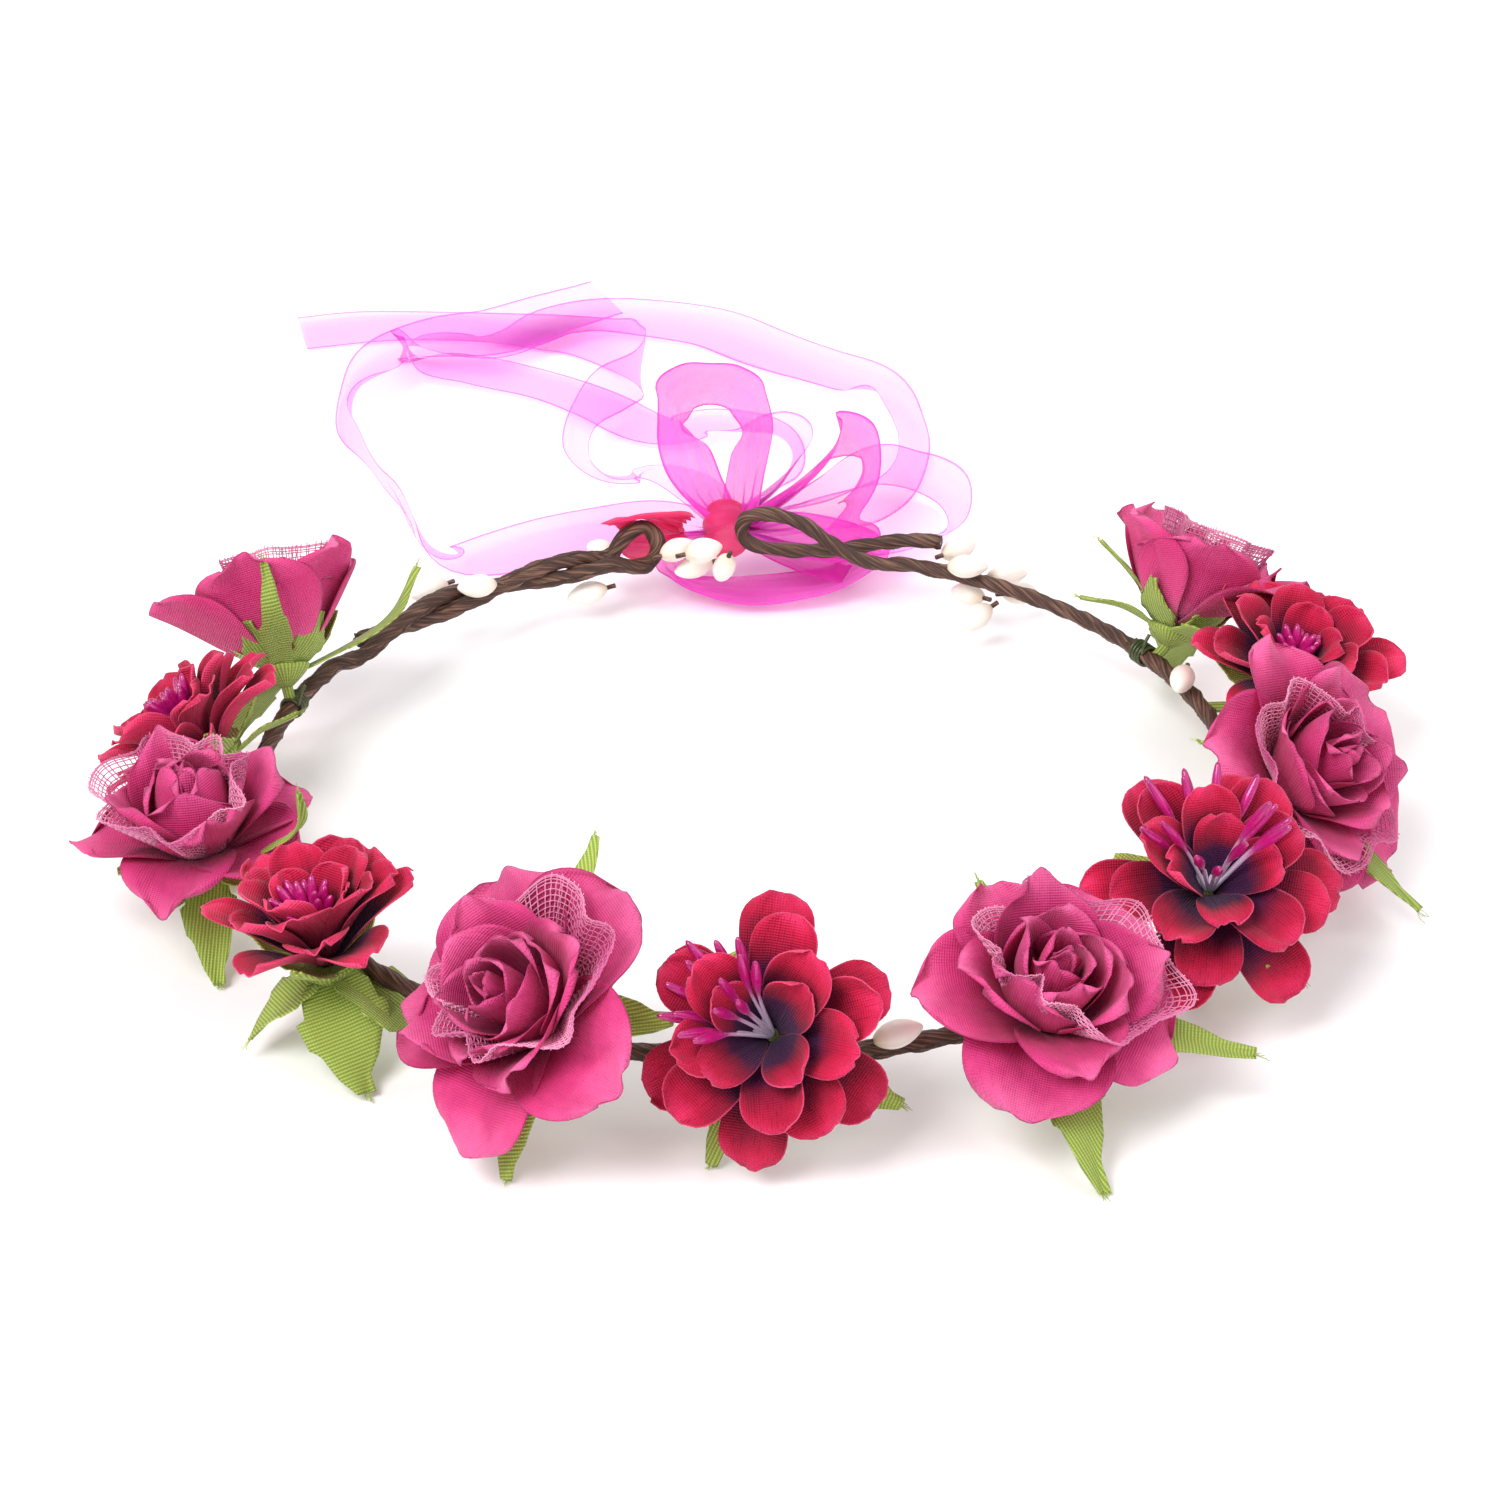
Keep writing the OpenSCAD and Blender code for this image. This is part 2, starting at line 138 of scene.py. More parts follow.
class Shader:
    """A material, with short calls that add a node and return its output. A colour is an output or
    three sRGB numbers."""

    def __init__(self, name):
        self.material = bpy.data.materials.new(name)
        self.material.use_nodes = True
        self.tree = self.material.node_tree
        self.tree.nodes.clear()

    def node(self, kind, inputs=None, **settings):
        made = self.tree.nodes.new("ShaderNode" + kind)
        for key, value in settings.items():
            setattr(made, key, value)
        for key, value in (inputs or {}).items():
            if isinstance(value, bpy.types.NodeSocket):
                self.tree.links.new(value, made.inputs[key])
            else:
                made.inputs[key].default_value = srgb(*value) if isinstance(value, tuple) else value
        return made

    def math(self, operation, a, b=0.0, clamp=False):
        return self.node("Math", {0: a, 1: b}, operation=operation, use_clamp=clamp).outputs[0]

    def times(self, a, b):
        return self.math("MULTIPLY", a, b)

    def plus(self, a, b, clamp=False):
        return self.math("ADD", a, b, clamp)

    def linear(self, value, slope, start):
        """start + slope * value, where start and slope may be numbers or outputs."""
        return self.plus(self.times(value, slope), start)

    def attribute(self, name):
        """The three numbers of a vector attribute."""
        vector = self.node("Attribute", attribute_name=name).outputs["Vector"]
        return self.node("SeparateXYZ", {0: vector}).outputs[:]

    def cloth(self):
        """Place on the flat cloth in millimetres, and the tone of this sheet or tube, 0 to 1."""
        x, y, _ = self.attribute("cloth")
        tone, _, _ = self.attribute("tint")
        return x, y, tone

    def vector(self, x, y, z=0.0):
        return self.node("CombineXYZ", {0: x, 1: y, 2: z}).outputs[0]

    def mix(self, factor, a, b):
        return self.node("Mix", {0: factor, 6: a, 7: b}, data_type="RGBA").outputs[2]

    def ramp(self, factor, stops):
        made = self.node("ValToRGB", {0: factor})
        elements = made.color_ramp.elements
        for spot, _ in stops[2:]:
            elements.new(spot)
        for element, (spot, colour) in zip(elements, stops):
            element.position = spot
            element.color = srgb(*colour)
        return made.outputs[0]

    def noise(self, vector, scale, detail=2.0):
        return self.node("TexNoise", {"Vector": vector, "Scale": scale, "Detail": detail}).outputs[0]

    def stripes(self, along, pitch):
        """From 0 to 1 and back over each pitch."""
        return self.linear(self.math("SINE", self.times(along, 2 * math.pi / pitch)), 0.5, 0.5)

    def weave(self, x, y, pitch):
        """Height of a plain weave, with threads one pitch apart."""
        return self.plus(self.stripes(x, pitch), self.stripes(y, pitch))

    def bump(self, height, depth):
        return self.node("Bump", {"Height": height, "Distance": depth * MM, "Strength": 1.0}).outputs[0]

    def shade(self, colour, value):
        """The colour, brighter or darker by value."""
        return self.node("HueSaturation", {"Value": value, "Color": colour}).outputs[0]

    def principled(self, colour, roughness, **inputs):
        named = {key.replace("_", " "): value for key, value in inputs.items()}
        named.update({"Base Color": colour, "Roughness": roughness})
        return self.node("BsdfPrincipled", named).outputs[0]

    def translucent(self, colour, normal):
        return self.node("BsdfTranslucent", {"Color": colour, "Normal": normal}).outputs[0]

    def blend(self, factor, a, b):
        return self.node("MixShader", {0: factor, 1: a, 2: b}).outputs[0]

    def close(self, surface):
        self.node("OutputMaterial", {"Surface": surface})
        return self.material


def petal_cloth(name, front, back, edge_colour, edge_w, edge_share, glow):
    """Pressed fabric petal: colour along its length on each side, cut edge, veins with painted shade in
    their creases, and weave.
    """
    s = Shader(name)
    x, y, _ = s.attribute("cloth")
    across, along, edge = s.attribute("petal")
    tone, side, _ = s.attribute("tint")
    cloudy = s.noise(s.vector(x, y, s.times(tone, 40)), 0.16, 3)
    shifted = s.plus(along, s.times(s.math("SUBTRACT", cloudy, 0.5), 0.35))
    colour = s.mix(side, s.ramp(shifted, front), s.ramp(shifted, back))
    fan = s.linear(across, 17, s.times(cloudy, 6))
    vein_and_shade = s.math("POWER", s.math("ABSOLUTE", s.math("SINE", fan)), 0.5)
    threads = s.weave(x, y, 0.45)
    # value sets the colour's brightness from tone, mottling and weave, and lowers it along the veins:
    # painted shade in their creases.
    value = 0.62
    for part, share in ((tone, 0.2), (vein_and_shade, 0.045), (cloudy, 0.3), (threads, 0.09)):
        value = s.linear(part, share, value)
    colour = s.shade(colour, value)
    near_edge = s.math("SUBTRACT", 1.0, s.math("DIVIDE", edge, edge_w), clamp=True)
    colour = s.mix(s.times(near_edge, edge_share), colour, edge_colour)
    normal = s.bump(s.linear(threads, 0.5, s.times(vein_and_shade, 0.5)), 0.16)
    cloth = s.principled(
        colour, s.linear(cloudy, 0.25, 0.52), Sheen_Weight=0.12, Sheen_Roughness=0.4,
        Specular_IOR_Level=0.3, Normal=normal
    )
    return s.close(s.blend(glow, cloth, s.translucent(colour, normal)))


def leaf_cloth():
    s = Shader("leaf_cloth")
    x, y, tone = s.cloth()
    rib = s.stripes(x, 0.62)
    pick = s.stripes(y, 0.5)
    cloudy = s.noise(s.vector(x, y, s.times(tone, 30)), 0.16, 3)
    colour = s.mix(rib, (118, 150, 48), (200, 218, 104))
    colour = s.mix(s.times(pick, 0.28), colour, (98, 126, 44))
    colour = s.mix(s.times(cloudy, 0.35), colour, (172, 176, 84))
    colour = s.shade(colour, s.linear(tone, 0.3, 0.92))
    normal = s.bump(s.linear(pick, 0.35, rib), 0.12)
    cloth = s.principled(colour, s.linear(rib, -0.2, 0.7), Sheen_Weight=0.15, Normal=normal)
    return s.close(s.blend(0.22, cloth, s.translucent(colour, normal)))


def netting_thread():
    s = Shader("netting_thread")
    x, y, tone = s.cloth()
    fuzz = s.noise(s.vector(x, y), 2.5, 2)
    colour = s.mix(tone, (206, 88, 144), (242, 158, 194))
    colour = s.mix(s.times(fuzz, 0.3), colour, (188, 70, 128))
    rough = s.linear(fuzz, 0.3, 0.3)
    return s.close(s.principled(colour, rough, Sheen_Weight=0.2, Normal=s.bump(fuzz, 0.05)))


def stamen_pearl():
    s = Shader("stamen_pearl")
    x, y, tone = s.cloth()
    _, along, _ = s.attribute("petal")
    grain = s.noise(s.vector(x, y, s.times(tone, 9)), 1.6, 3)
    spread = s.plus(along, s.times(s.math("SUBTRACT", grain, 0.5), 0.22))
    colour = s.ramp(spread, [
        (0.0, (232, 222, 238)), (0.44, (222, 190, 222)), (0.6, (208, 60, 150)),
        (0.74, (204, 20, 128)), (1.0, (166, 12, 104))
    ])
    return s.close(s.principled(
        colour, s.linear(grain, 0.2, 0.2), Metallic=0.25, Coat_Weight=0.6, Coat_Roughness=0.15,
        Normal=s.bump(grain, 0.12)
    ))


def bud_pip():
    s = Shader("bud_pip")
    x, y, tone = s.cloth()
    _, along, _ = s.attribute("petal")
    grain = s.noise(s.vector(x, y, s.times(tone, 9)), 0.8, 4)
    colour = s.ramp(along, [
        (0.0, (222, 206, 180)), (0.3, (240, 232, 222)), (1.0, (248, 240, 232))
    ])
    colour = s.mix(s.times(grain, 0.25), colour, (236, 214, 206))
    return s.close(s.principled(
        colour, s.linear(grain, 0.25, 0.28), Subsurface_Weight=0.15, Subsurface_Scale=0.002,
        Normal=s.bump(grain, 0.15)
    ))


def crepe_paper():
    """Brown paper twisted round the wire; cloth x runs round it and cloth y along it."""
    s = Shader("crepe_paper")
    x, y, tone = s.cloth()
    turned = s.linear(y, 0.35, x)
    pleats = s.noise(s.vector(s.times(turned, 2.2), s.times(y, 0.12), tone), 1.0, 5)
    spots = s.noise(s.vector(x, y, tone), 0.25, 3)
    # The ramp follows the pleats' bump: painted shade in their hollows and painted highlight on their
    # ridges, with the paper's own brown between.
    colour = s.ramp(pleats, [
        (0.32, (24, 12, 8)), (0.5, (70, 42, 31)), (0.68, (138, 102, 82))
    ])
    colour = s.mix(s.times(spots, 0.35), colour, (92, 58, 46))
    return s.close(s.principled(colour, s.linear(spots, 0.3, 0.5), Normal=s.bump(pleats, 0.5)))


def coated_wire(name, dark, light, metallic):
    s = Shader(name)
    grain = s.noise(s.node("TexCoord").outputs["Object"], 900, 3)
    return s.close(s.principled(
        s.mix(grain, dark, light), s.linear(grain, 0.25, 0.25), Metallic=metallic,
        Normal=s.bump(grain, 0.05)
    ))


def organza(name, cover, hem_cover, thread, lit):
    """Sheer ribbon: cover is the share that one of its two faces hides, and hem_cover how much more
    its selvedges do."""
    s = Shader(name)
    x, y, tone = s.cloth()
    _, _, edge = s.attribute("petal")
    streak = s.noise(s.vector(s.times(x, 0.3), s.times(y, 0.04), tone), 1.0, 3)
    hem = s.math("SUBTRACT", 1.0, s.math("DIVIDE", edge, 0.7), clamp=True)
    colour = s.mix(streak, thread, lit)
    shown = s.times(s.linear(streak, 0.3, 0.85), cover)
    shown = s.plus(shown, s.times(hem, hem_cover), clamp=True)
    normal = s.bump(s.weave(x, y, 0.4), 0.02)
    cloth = s.principled(colour, s.linear(streak, 0.2, 0.3), Sheen_Weight=0.3, Normal=normal)
    clear = s.node("BsdfTransparent").outputs[0]
    return s.close(s.blend(shown, clear, s.blend(0.5, cloth, s.translucent(colour, normal))))


# ---- curves and frames
def unit(v):
    return v / np.linalg.norm(v, axis=-1, keepdims=True)


def on_hoop(angle, out=0.0, up=0.0):
    a = math.radians(angle)
    return [(HOOP_R + out) * math.cos(a), (HOOP_R + out) * math.sin(a), HOOP_Z + up]


def spline(points, step):
    """A smooth curve through the points, with its own points about step apart."""
    p = np.array(points, float)
    p = np.vstack([2 * p[0] - p[1], p, 2 * p[-1] - p[-2]])
    t = np.linspace(0, 1, 24, endpoint=False)[:, None]
    parts = []
    for a, b, c, d in zip(p, p[1:], p[2:], p[3:]):
        parts.append(
            0.5 * (2 * b + (c - a) * t + (2 * a - 5 * b + 4 * c - d) * t**2
                   + (3 * b - a - 3 * c + d) * t**3)
        )
    fine = np.vstack(parts + [p[-2:-1]])
    run = np.concatenate([[0], np.cumsum(np.linalg.norm(np.diff(fine[:, :3], axis=0), axis=1))])
    at = np.linspace(0, run[-1], max(3, int(round(run[-1] / step)) + 1))
    return np.stack([np.interp(at, run, fine[:, k]) for k in range(fine.shape[1])], 1), at


def carried_frames(line):
    """Tangent and two steady side directions along a line of points."""
    tangent = unit(np.gradient(line, axis=0))
    side = np.empty_like(line)
    first = np.cross(tangent[0], [0.0, 0.0, 1.0])
    side[0] = unit(first if np.linalg.norm(first) > 0.1 else np.cross(tangent[0], [1.0, 0.0, 0.0]))
    for i in range(1, len(line)):
        side[i] = unit(side[i - 1] - tangent[i] * (side[i - 1] @ tangent[i]))
    return tangent, side, np.cross(side, tangent)


def around(count):
    """Angles evenly round a circle."""
    return np.linspace(0, 2 * math.pi, count, endpoint=False)


def smooth_random(rng, angle, terms):
    """A smooth closed function of the angle, within about -1 and 1."""
    total = np.zeros_like(angle)
    for k in range(1, terms + 1):
        total = total + rng.uniform(-1, 1) * np.sin(k * angle + rng.uniform(0, 6.28)) / terms**0.5
    return total


# ---- mesh building
class Piece:
    """Collects surfaces in millimetres and makes one object of them, in place of a CAD node."""

    def __init__(self, node):
        self.node = node
        self.points = []
        self.cloth = []
        self.petal = []
        self.tint = []
        self.faces = []
        self.slots = []
        self.materials = []
        self.count = 0

    def add(self, points, faces, cloth, petal, tint, material):
        """points (n, 3) with their three attributes, and faces as arrays of point numbers."""
        if material not in self.materials:
            self.materials.append(material)
        for store, values in ((self.points, points), (self.cloth, cloth), (self.petal, petal)):
            store.append(np.asarray(values, np.float32).reshape(-1, 3))
        self.tint.append(np.broadcast_to(np.asarray(tint, np.float32), self.points[-1].shape))
        for block in faces:
            self.faces.append(np.asarray(block, np.int32) + self.count)
            self.slots.append(np.full(len(block), self.materials.index(material), np.int32))
        self.count += len(self.points[-1])

    def sheet(self, grid, thick, cloth, petal, tone, material, backs=True):
        """A thin closed sheet about a grid (across, along, 3) of points. If backs, one face is
        marked as the sheet's back, which may have its own colour."""
        normal = unit(np.cross(np.gradient(grid, axis=0), np.gradient(grid, axis=1)))
        n, m = grid.shape[:2]
        number = np.arange(n * m).reshape(n, m)
        under = number + n * m
        quads = np.stack([number[:-1, :-1], number[1:, :-1], number[1:, 1:], number[:-1, 1:]], -1)
        rim = np.concatenate([number[:-1, 0], number[-1, :-1], number[:0:-1, -1], number[0, :0:-1]])
        after = np.roll(rim, -1)
        faces = [
            quads.reshape(-1, 4),
            quads[..., ::-1].reshape(-1, 4) + n * m,
            np.stack([after, rim, rim + n * m, after + n * m], -1),
        ]
        points = np.stack([grid + normal * thick / 2, grid - normal * thick / 2])
        both = [np.stack([a, a]) for a in (cloth, petal)]
        tint = np.zeros((2, under.size, 3))
        tint[..., 0] = tone
        tint[0, :, 1] = 1.0 if backs else 0.0
        self.add(points, faces, both[0], both[1], tint.reshape(-1, 3), material)

    def skin(self, grid, cloth, petal, tone, material):
        """A closed skin over rings: grid (rings, around, 3), with a cap on each end."""
        n, m = grid.shape[:2]
        number = np.arange(n * m).reshape(n, m)
        turned = np.roll(number, -1, 1)
        quads = np.stack([number[:-1], turned[:-1], turned[1:], number[1:]], -1).reshape(-1, 4)
        caps = [number[:1, ::-1], number[-1:]]
        self.add(grid, [quads] + caps, cloth, petal, (tone, 0, 0), material)

    def make(self, body, node=None):
        """The finished object, riding on a body if one is given. node is the CAD node that it
        stands for, where that has another name."""
        name = self.node + "_look"
        points = np.concatenate(self.points)
        mesh = bpy.data.meshes.new(name)
        totals = np.concatenate([np.full(len(f), f.shape[1], np.int32) for f in self.faces])
        loops = np.concatenate([f.ravel() for f in self.faces])
        mesh.vertices.add(len(points))
        mesh.vertices.foreach_set("co", (points * MM).ravel())
        mesh.loops.add(len(loops))
        mesh.loops.foreach_set("vertex_index", loops)
        mesh.polygons.add(len(totals))
        mesh.polygons.foreach_set("loop_start", np.concatenate([[0], np.cumsum(totals)[:-1]]))
        mesh.polygons.foreach_set("loop_total", totals)
        mesh.polygons.foreach_set("material_index", np.concatenate(self.slots))
        mesh.update(calc_edges=True)
        mesh.validate()
        mesh.polygons.foreach_set("use_smooth", np.ones(len(mesh.polygons), bool))
        for key, store in (("cloth", self.cloth), ("petal", self.petal), ("tint", self.tint)):
            layer = mesh.attributes.new(key, "FLOAT_VECTOR", "POINT")
            layer.data.foreach_set("vector", np.concatenate(store).astype(np.float32).ravel())
        for material in self.materials:
            mesh.materials.append(material)
        made = bpy.data.objects.new(name, mesh)
        bpy.context.scene.collection.objects.link(made)
        if body:
            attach(made, body)
        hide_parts(node or self.node)
        return made


def tube(piece, line, radius, sides, tone, material, along=None):
    """A round tube along a line of points; radius is a number, or an array (points, sides)."""
    tangent, side, up = carried_frames(line)
    turn = around(sides)
    ring = np.cos(turn)[None, :, None] * side[:, None] + np.sin(turn)[None, :, None] * up[:, None]
    r = np.broadcast_to(np.asarray(radius, float).reshape(-1, 1) if np.ndim(radius) == 1 else radius,
                        ring.shape[:2])
    run = np.concatenate([[0], np.cumsum(np.linalg.norm(np.diff(line, axis=0), axis=1))])
    cloth = np.zeros(ring.shape)
    cloth[..., 0] = turn * r.mean()
    cloth[..., 1] = run[:, None]
    petal = np.zeros(ring.shape)
    petal[..., 1] = (run / run[-1])[:, None] if along is None else np.asarray(along)[:, None]
    piece.skin(line[:, None] + ring * r[..., None], cloth, petal, tone, material)


# ---- petals
# At a petal's foot, middle and tip: how far its lean varies in degrees, and its share of the droop.
LEAN_WANDER = (3, 6, 10)
DROOP_SHARE = (0.4, 1, 1.3)


def turn_about_z(degrees):
    a = math.radians(degrees)
    return np.array([[math.cos(a), -math.sin(a), 0], [math.sin(a), math.cos(a), 0], [0, 0, 1]])


def flower_place(flower):
    """A function that puts points from the flower's own frame into the row frame."""
    foot, azimuth, elevation, turn = flower[:4]
    a = math.radians(90 - elevation)
    tilt = np.array([[math.cos(a), 0, math.sin(a)], [0, 1, 0], [-math.sin(a), 0, math.cos(a)]])
    matrix = turn_about_z(azimuth) @ tilt @ turn_about_z(turn)
    return lambda p: np.asarray(p, float) @ matrix.T + np.array(foot, float)


def petal_relief(rng, u, v, ruffle, crease, roll):
    """How far a petal's surface leaves its plain bowl: a wavy rim, curled sides and two creases."""
    p1, p2 = rng.uniform(0, 6.28, 2)
    push = ruffle * v**2 * np.abs(u) * np.sin(1.9 * math.pi * u + p1)
    push = push + 0.7 * ruffle * v**3 * np.sin(1.2 * math.pi * u + p2)
    push = push - roll * v**3 * np.clip(np.abs(u) - 0.35, 0, 1) ** 1.5
    for middle in rng.uniform(-0.6, 0.6, 2):
        fold = np.exp(-(((u - middle * (0.5 + 0.5 * v)) / 0.16) ** 2))
        push = push - crease * fold * np.sin(math.pi * v) ** 0.7
    return push


def petal(piece, place, rng, material, angle, length, width, lean, foot, wrap,
          tip=0.07, point=2.0, narrow=0.35, widest=0.62, close=0.88, skew=0.0, ruffle=0.6,
          crease=0.25, roll=0.0, size=(23, 19)):
    """One fabric petal. lean is the slope of its middle line at the foot, middle and tip, wrap the
    radius that it bends round at foot and tip, foot its (radius, height) on the flower, and roll
    how far its two sides curl back near the tip."""
    u = np.linspace(-1, 1, size[0])[:, None]
    v = np.linspace(0, 1, size[1])[None, :]
    reach = v * (1 - tip * np.abs(u) ** point)
    grown = np.sin(math.pi / 2 * np.clip(v / widest, 0, 1)) ** 1.15
    closing = np.sqrt(1 - close * np.clip((v - widest) / (1 - widest), 0, 1) ** 2)
    half = width / 2 * (narrow + (1 - narrow) * grown) * closing
    s = np.linspace(0, 1, 60)
    slope = np.radians(lean[0] * (1 - s) ** 2 + 2 * lean[1] * s * (1 - s) + lean[2] * s**2)
    step = length / (len(s) - 1)
    middle_r = foot[0] + step * np.concatenate([[0], np.cumsum(np.cos(slope[:-1]))])
    middle_z = foot[1] + step * np.concatenate([[0], np.cumsum(np.sin(slope[:-1]))])
    slant, r, z = (np.interp(reach, s, values) for values in (slope, middle_r, middle_z))
    bend = wrap[0] + (wrap[1] - wrap[0]) * v
    swing = half * u / bend
    push = bend * (1 - np.cos(swing)) + skew * u * v + petal_relief(rng, u, v, ruffle, crease, roll)
    bowl = np.stack([r - np.sin(slant) * push, bend * np.sin(swing), z + np.cos(slant) * push], -1)
    grid = place(bowl @ turn_about_z(angle).T)
    grid[..., 2] = np.maximum(grid[..., 2], CLOTH_Z)
    cloth = np.stack([half * u, length * reach, 0 * reach], -1)
    edge = np.minimum(half * (1 - np.abs(u)), length * (1 - v))
    marks = np.stack([u + 0 * v, reach, edge], -1)
    piece.sheet(grid, PETAL_T, cloth, marks, rng.uniform(0, 1), material)


def ring_of_petals(piece, place, rng, material, count, first, jitter=5, droop=(0, 0), **shape):
    """Petals evenly round the flower from the angle first, each turned by up to jitter degrees.
    droop is how far petals open more, and the angle where most."""
    for k in range(count):
        angle = first + 360 * k / count
        mine = dict(shape)
        mine["length"] = shape["length"] * rng.uniform(0.93, 1.06)
        mine["width"] = shape["width"] * rng.uniform(0.94, 1.08)
        more = droop[0] * max(0.0, math.cos(math.radians(angle - droop[1])))
        mine["lean"] = [
            lean + rng.uniform(-1, 1) * wander - more * share
            for lean, wander, share in zip(shape["lean"], LEAN_WANDER, DROOP_SHARE)
        ]
        petal(piece, place, rng, material, angle + rng.uniform(-jitter, jitter), **mine)


def between(closed, wide, share):
    """Leans at a share of the way from closed to wide open."""
    return [a + (b - a) * share for a, b in zip(closed, wide)]


# ---- netting
def frill_surface(place, rng, opened, widest, height):
    """The netting's surface: a function of the angle round the flower and of t, from 0 to 1 up it."""
    wave_a, wave_b = rng.uniform(0, 6.28, 2)
    lean_seed, fold_seed = rng.integers(1 << 30, size=2)

    def surface(angle, t):
        lean = smooth_random(np.random.default_rng(lean_seed), angle, 3)
        fold = smooth_random(np.random.default_rng(fold_seed), angle, 5)
        lean = 0.45 * lean + 0.75 * np.cos(angle - math.radians(widest))
        spread = 0.15 + 0.5 * opened
        out = FRILL_FOOT_R + height * (spread * t + (0.15 + 0.4 * opened) * t * lean)
        out = out + 1.9 * t**0.8 * np.sin(7 * angle + wave_a) + 0.5 * t * np.sin(13 * angle + wave_b)
        up = FRILL_Z + height * ((1.0 - 0.35 * opened) * t - 0.3 * opened * t * lean)
        up = up + 1.2 * t**2 * fold
        return place(np.stack([out * np.cos(angle), out * np.sin(angle), up], -1))

    return surface


def net_threads(piece, surface, angle, t, height, closed, material):
    """Three-sided threads over and under a surface, through points at (angle, t), both arrays
    (threads, points). Closed threads are rings."""
    count, steps = angle.shape
    lift = 0.12 * np.cos(math.pi * (np.arange(count)[:, None] + 0.5 * np.arange(steps)[None, :]))
    line = surface(angle, t)
    normal = unit(np.cross(surface(angle + 0.01, t) - line, surface(angle, t + 0.01) - line))
    line = line + normal * lift[..., None]
    ahead = np.roll(line, -1, 1) - np.roll(line, 1, 1) if closed else np.gradient(line, axis=1)
    side = unit(np.cross(unit(ahead), normal))[:, :, None]
    turn = (np.array([0, 2, 4]) * math.pi / 3)[:, None]
    points = line[:, :, None] + NET_THREAD_R * (np.cos(turn) * side + np.sin(turn) * normal[:, :, None])
    number = np.arange(count * steps * 3).reshape(count, steps, 3)
    turned = np.roll(number, -1, 2)
    if closed:
        following = np.roll(turned, -1, 1), np.roll(number, -1, 1)
        faces = [np.stack([number, turned, *following], -1).reshape(-1, 4)]
    else:
        quads = np.stack([number[:, :-1], turned[:, :-1], turned[:, 1:], number[:, 1:]], -1)
        faces = [quads.reshape(-1, 4), number[:, 0, ::-1].reshape(-1, 3), number[:, -1].reshape(-1, 3)]
    blank = np.zeros(points.shape)
    cloth = np.stack([angle * FRILL_R, t * height, 0 * t], -1)[:, :, None] + blank
    tint = blank.copy()
    tint[..., 0] = 0.5 + 0.5 * np.sin(3 * angle + 5 * t)[..., None]
    piece.add(points, faces, cloth, blank, tint.reshape(-1, 3), material)


def netting(piece, place, rng, material, opened, widest):
    """Band of open netting gathered round the heart, as crossing threads with a hem. It spreads
    out most at the angle widest."""
    height = 19.5 - 4 * min(opened, 1)
    surface = frill_surface(place, rng, opened, widest, height)
    count = int(2 * math.pi * FRILL_R * 1.2 / NET_PITCH)
    rows = int(height / NET_PITCH)
    warp = around(count)[:, None]
    steps = np.linspace(0, 1, 2 * rows + 1)[None, :]
    ends = 1 + rng.uniform(0.0, 0.02, count)[:, None]
    angle = warp + 0.02 * rng.uniform(-1, 1, (count, 1)) + 0 * steps
    net_threads(piece, surface, angle, steps * ends, height, False, material)
    fine = around(2 * count)[None, :]
    level = np.append(np.arange(1, rows + 1) / rows - 0.02, [0.955, 0.993])[:, None]
    t = level + 0.008 * np.sin(7 * fine + 9 * level)
    net_threads(piece, surface, fine + 0 * level, t, height, True, material)


# ---- leaves
# Half width of a leaf along its length, as shares of its full width and length.
LEAF_EDGE = [
    (0, 0.2), (0.12, 0.36), (0.34, 0.4), (0.345, 0.5), (0.6, 0.44), (0.61, 0.36), (0.85, 0.24), (1, 0.1)]


def leaf(piece, rng, material, a, b, axis, width, arch, fray=True):
    """A lobe of ribbed ribbon from a to its tip b, arched towards axis, with a stepped edge."""
    a, b, axis = (np.array(p, float) for p in (a, b, axis))
    length = np.linalg.norm(b - a)
    line, _ = spline([a, (a + b) / 2 + arch * axis, b], 0.8)
    tangent = unit(np.gradient(line, axis=0))
    side = unit(np.cross(axis, tangent))
    normal = np.cross(tangent, side)
    turn = np.radians(rng.uniform(-18, 18)) * np.linspace(0, 1, len(line))[:, None]
    cos, sin = np.cos(turn), np.sin(turn)
    side, normal = side * cos + normal * sin, normal * cos - side * sin
    v = np.linspace(0, 1, len(line))
    spots, widths = zip(*LEAF_EDGE)
    left = np.interp(v, spots, widths) * width
    right = np.interp(v, np.array(spots) * rng.uniform(0.8, 0.95), widths) * width
    u = np.linspace(-1, 1, 9)[:, None]
    off = np.where(u < 0, u * left, u * right)
    fold = 0.12 * np.abs(off) + 0.35 * np.sin(5 * v + 3 * u + rng.uniform(0, 6)) * v
    grid = line[None] + off[..., None] * side[None] + fold[..., None] * normal[None]
    grid[..., 2] = np.maximum(grid[..., 2], CLOTH_Z)
    rib = math.radians(rng.choice([8, -12, 78]) + rng.uniform(-8, 8))
    cos, sin = math.cos(rib), math.sin(rib)
    y = np.broadcast_to(v * length, off.shape)
    cloth = np.stack([off * cos + y * sin, y * cos - off * sin, 0 * y], -1)
    marks = np.stack([u + 0 * y, y / length, 0 * y + 1], -1)
    tone = rng.uniform(0, 1)
    piece.sheet(grid, LEAF_T, cloth, marks, tone, material)
    if fray:
        frayed_end(piece, rng, material, line[-1], tangent[-1], side[-1], normal[-1], tone)


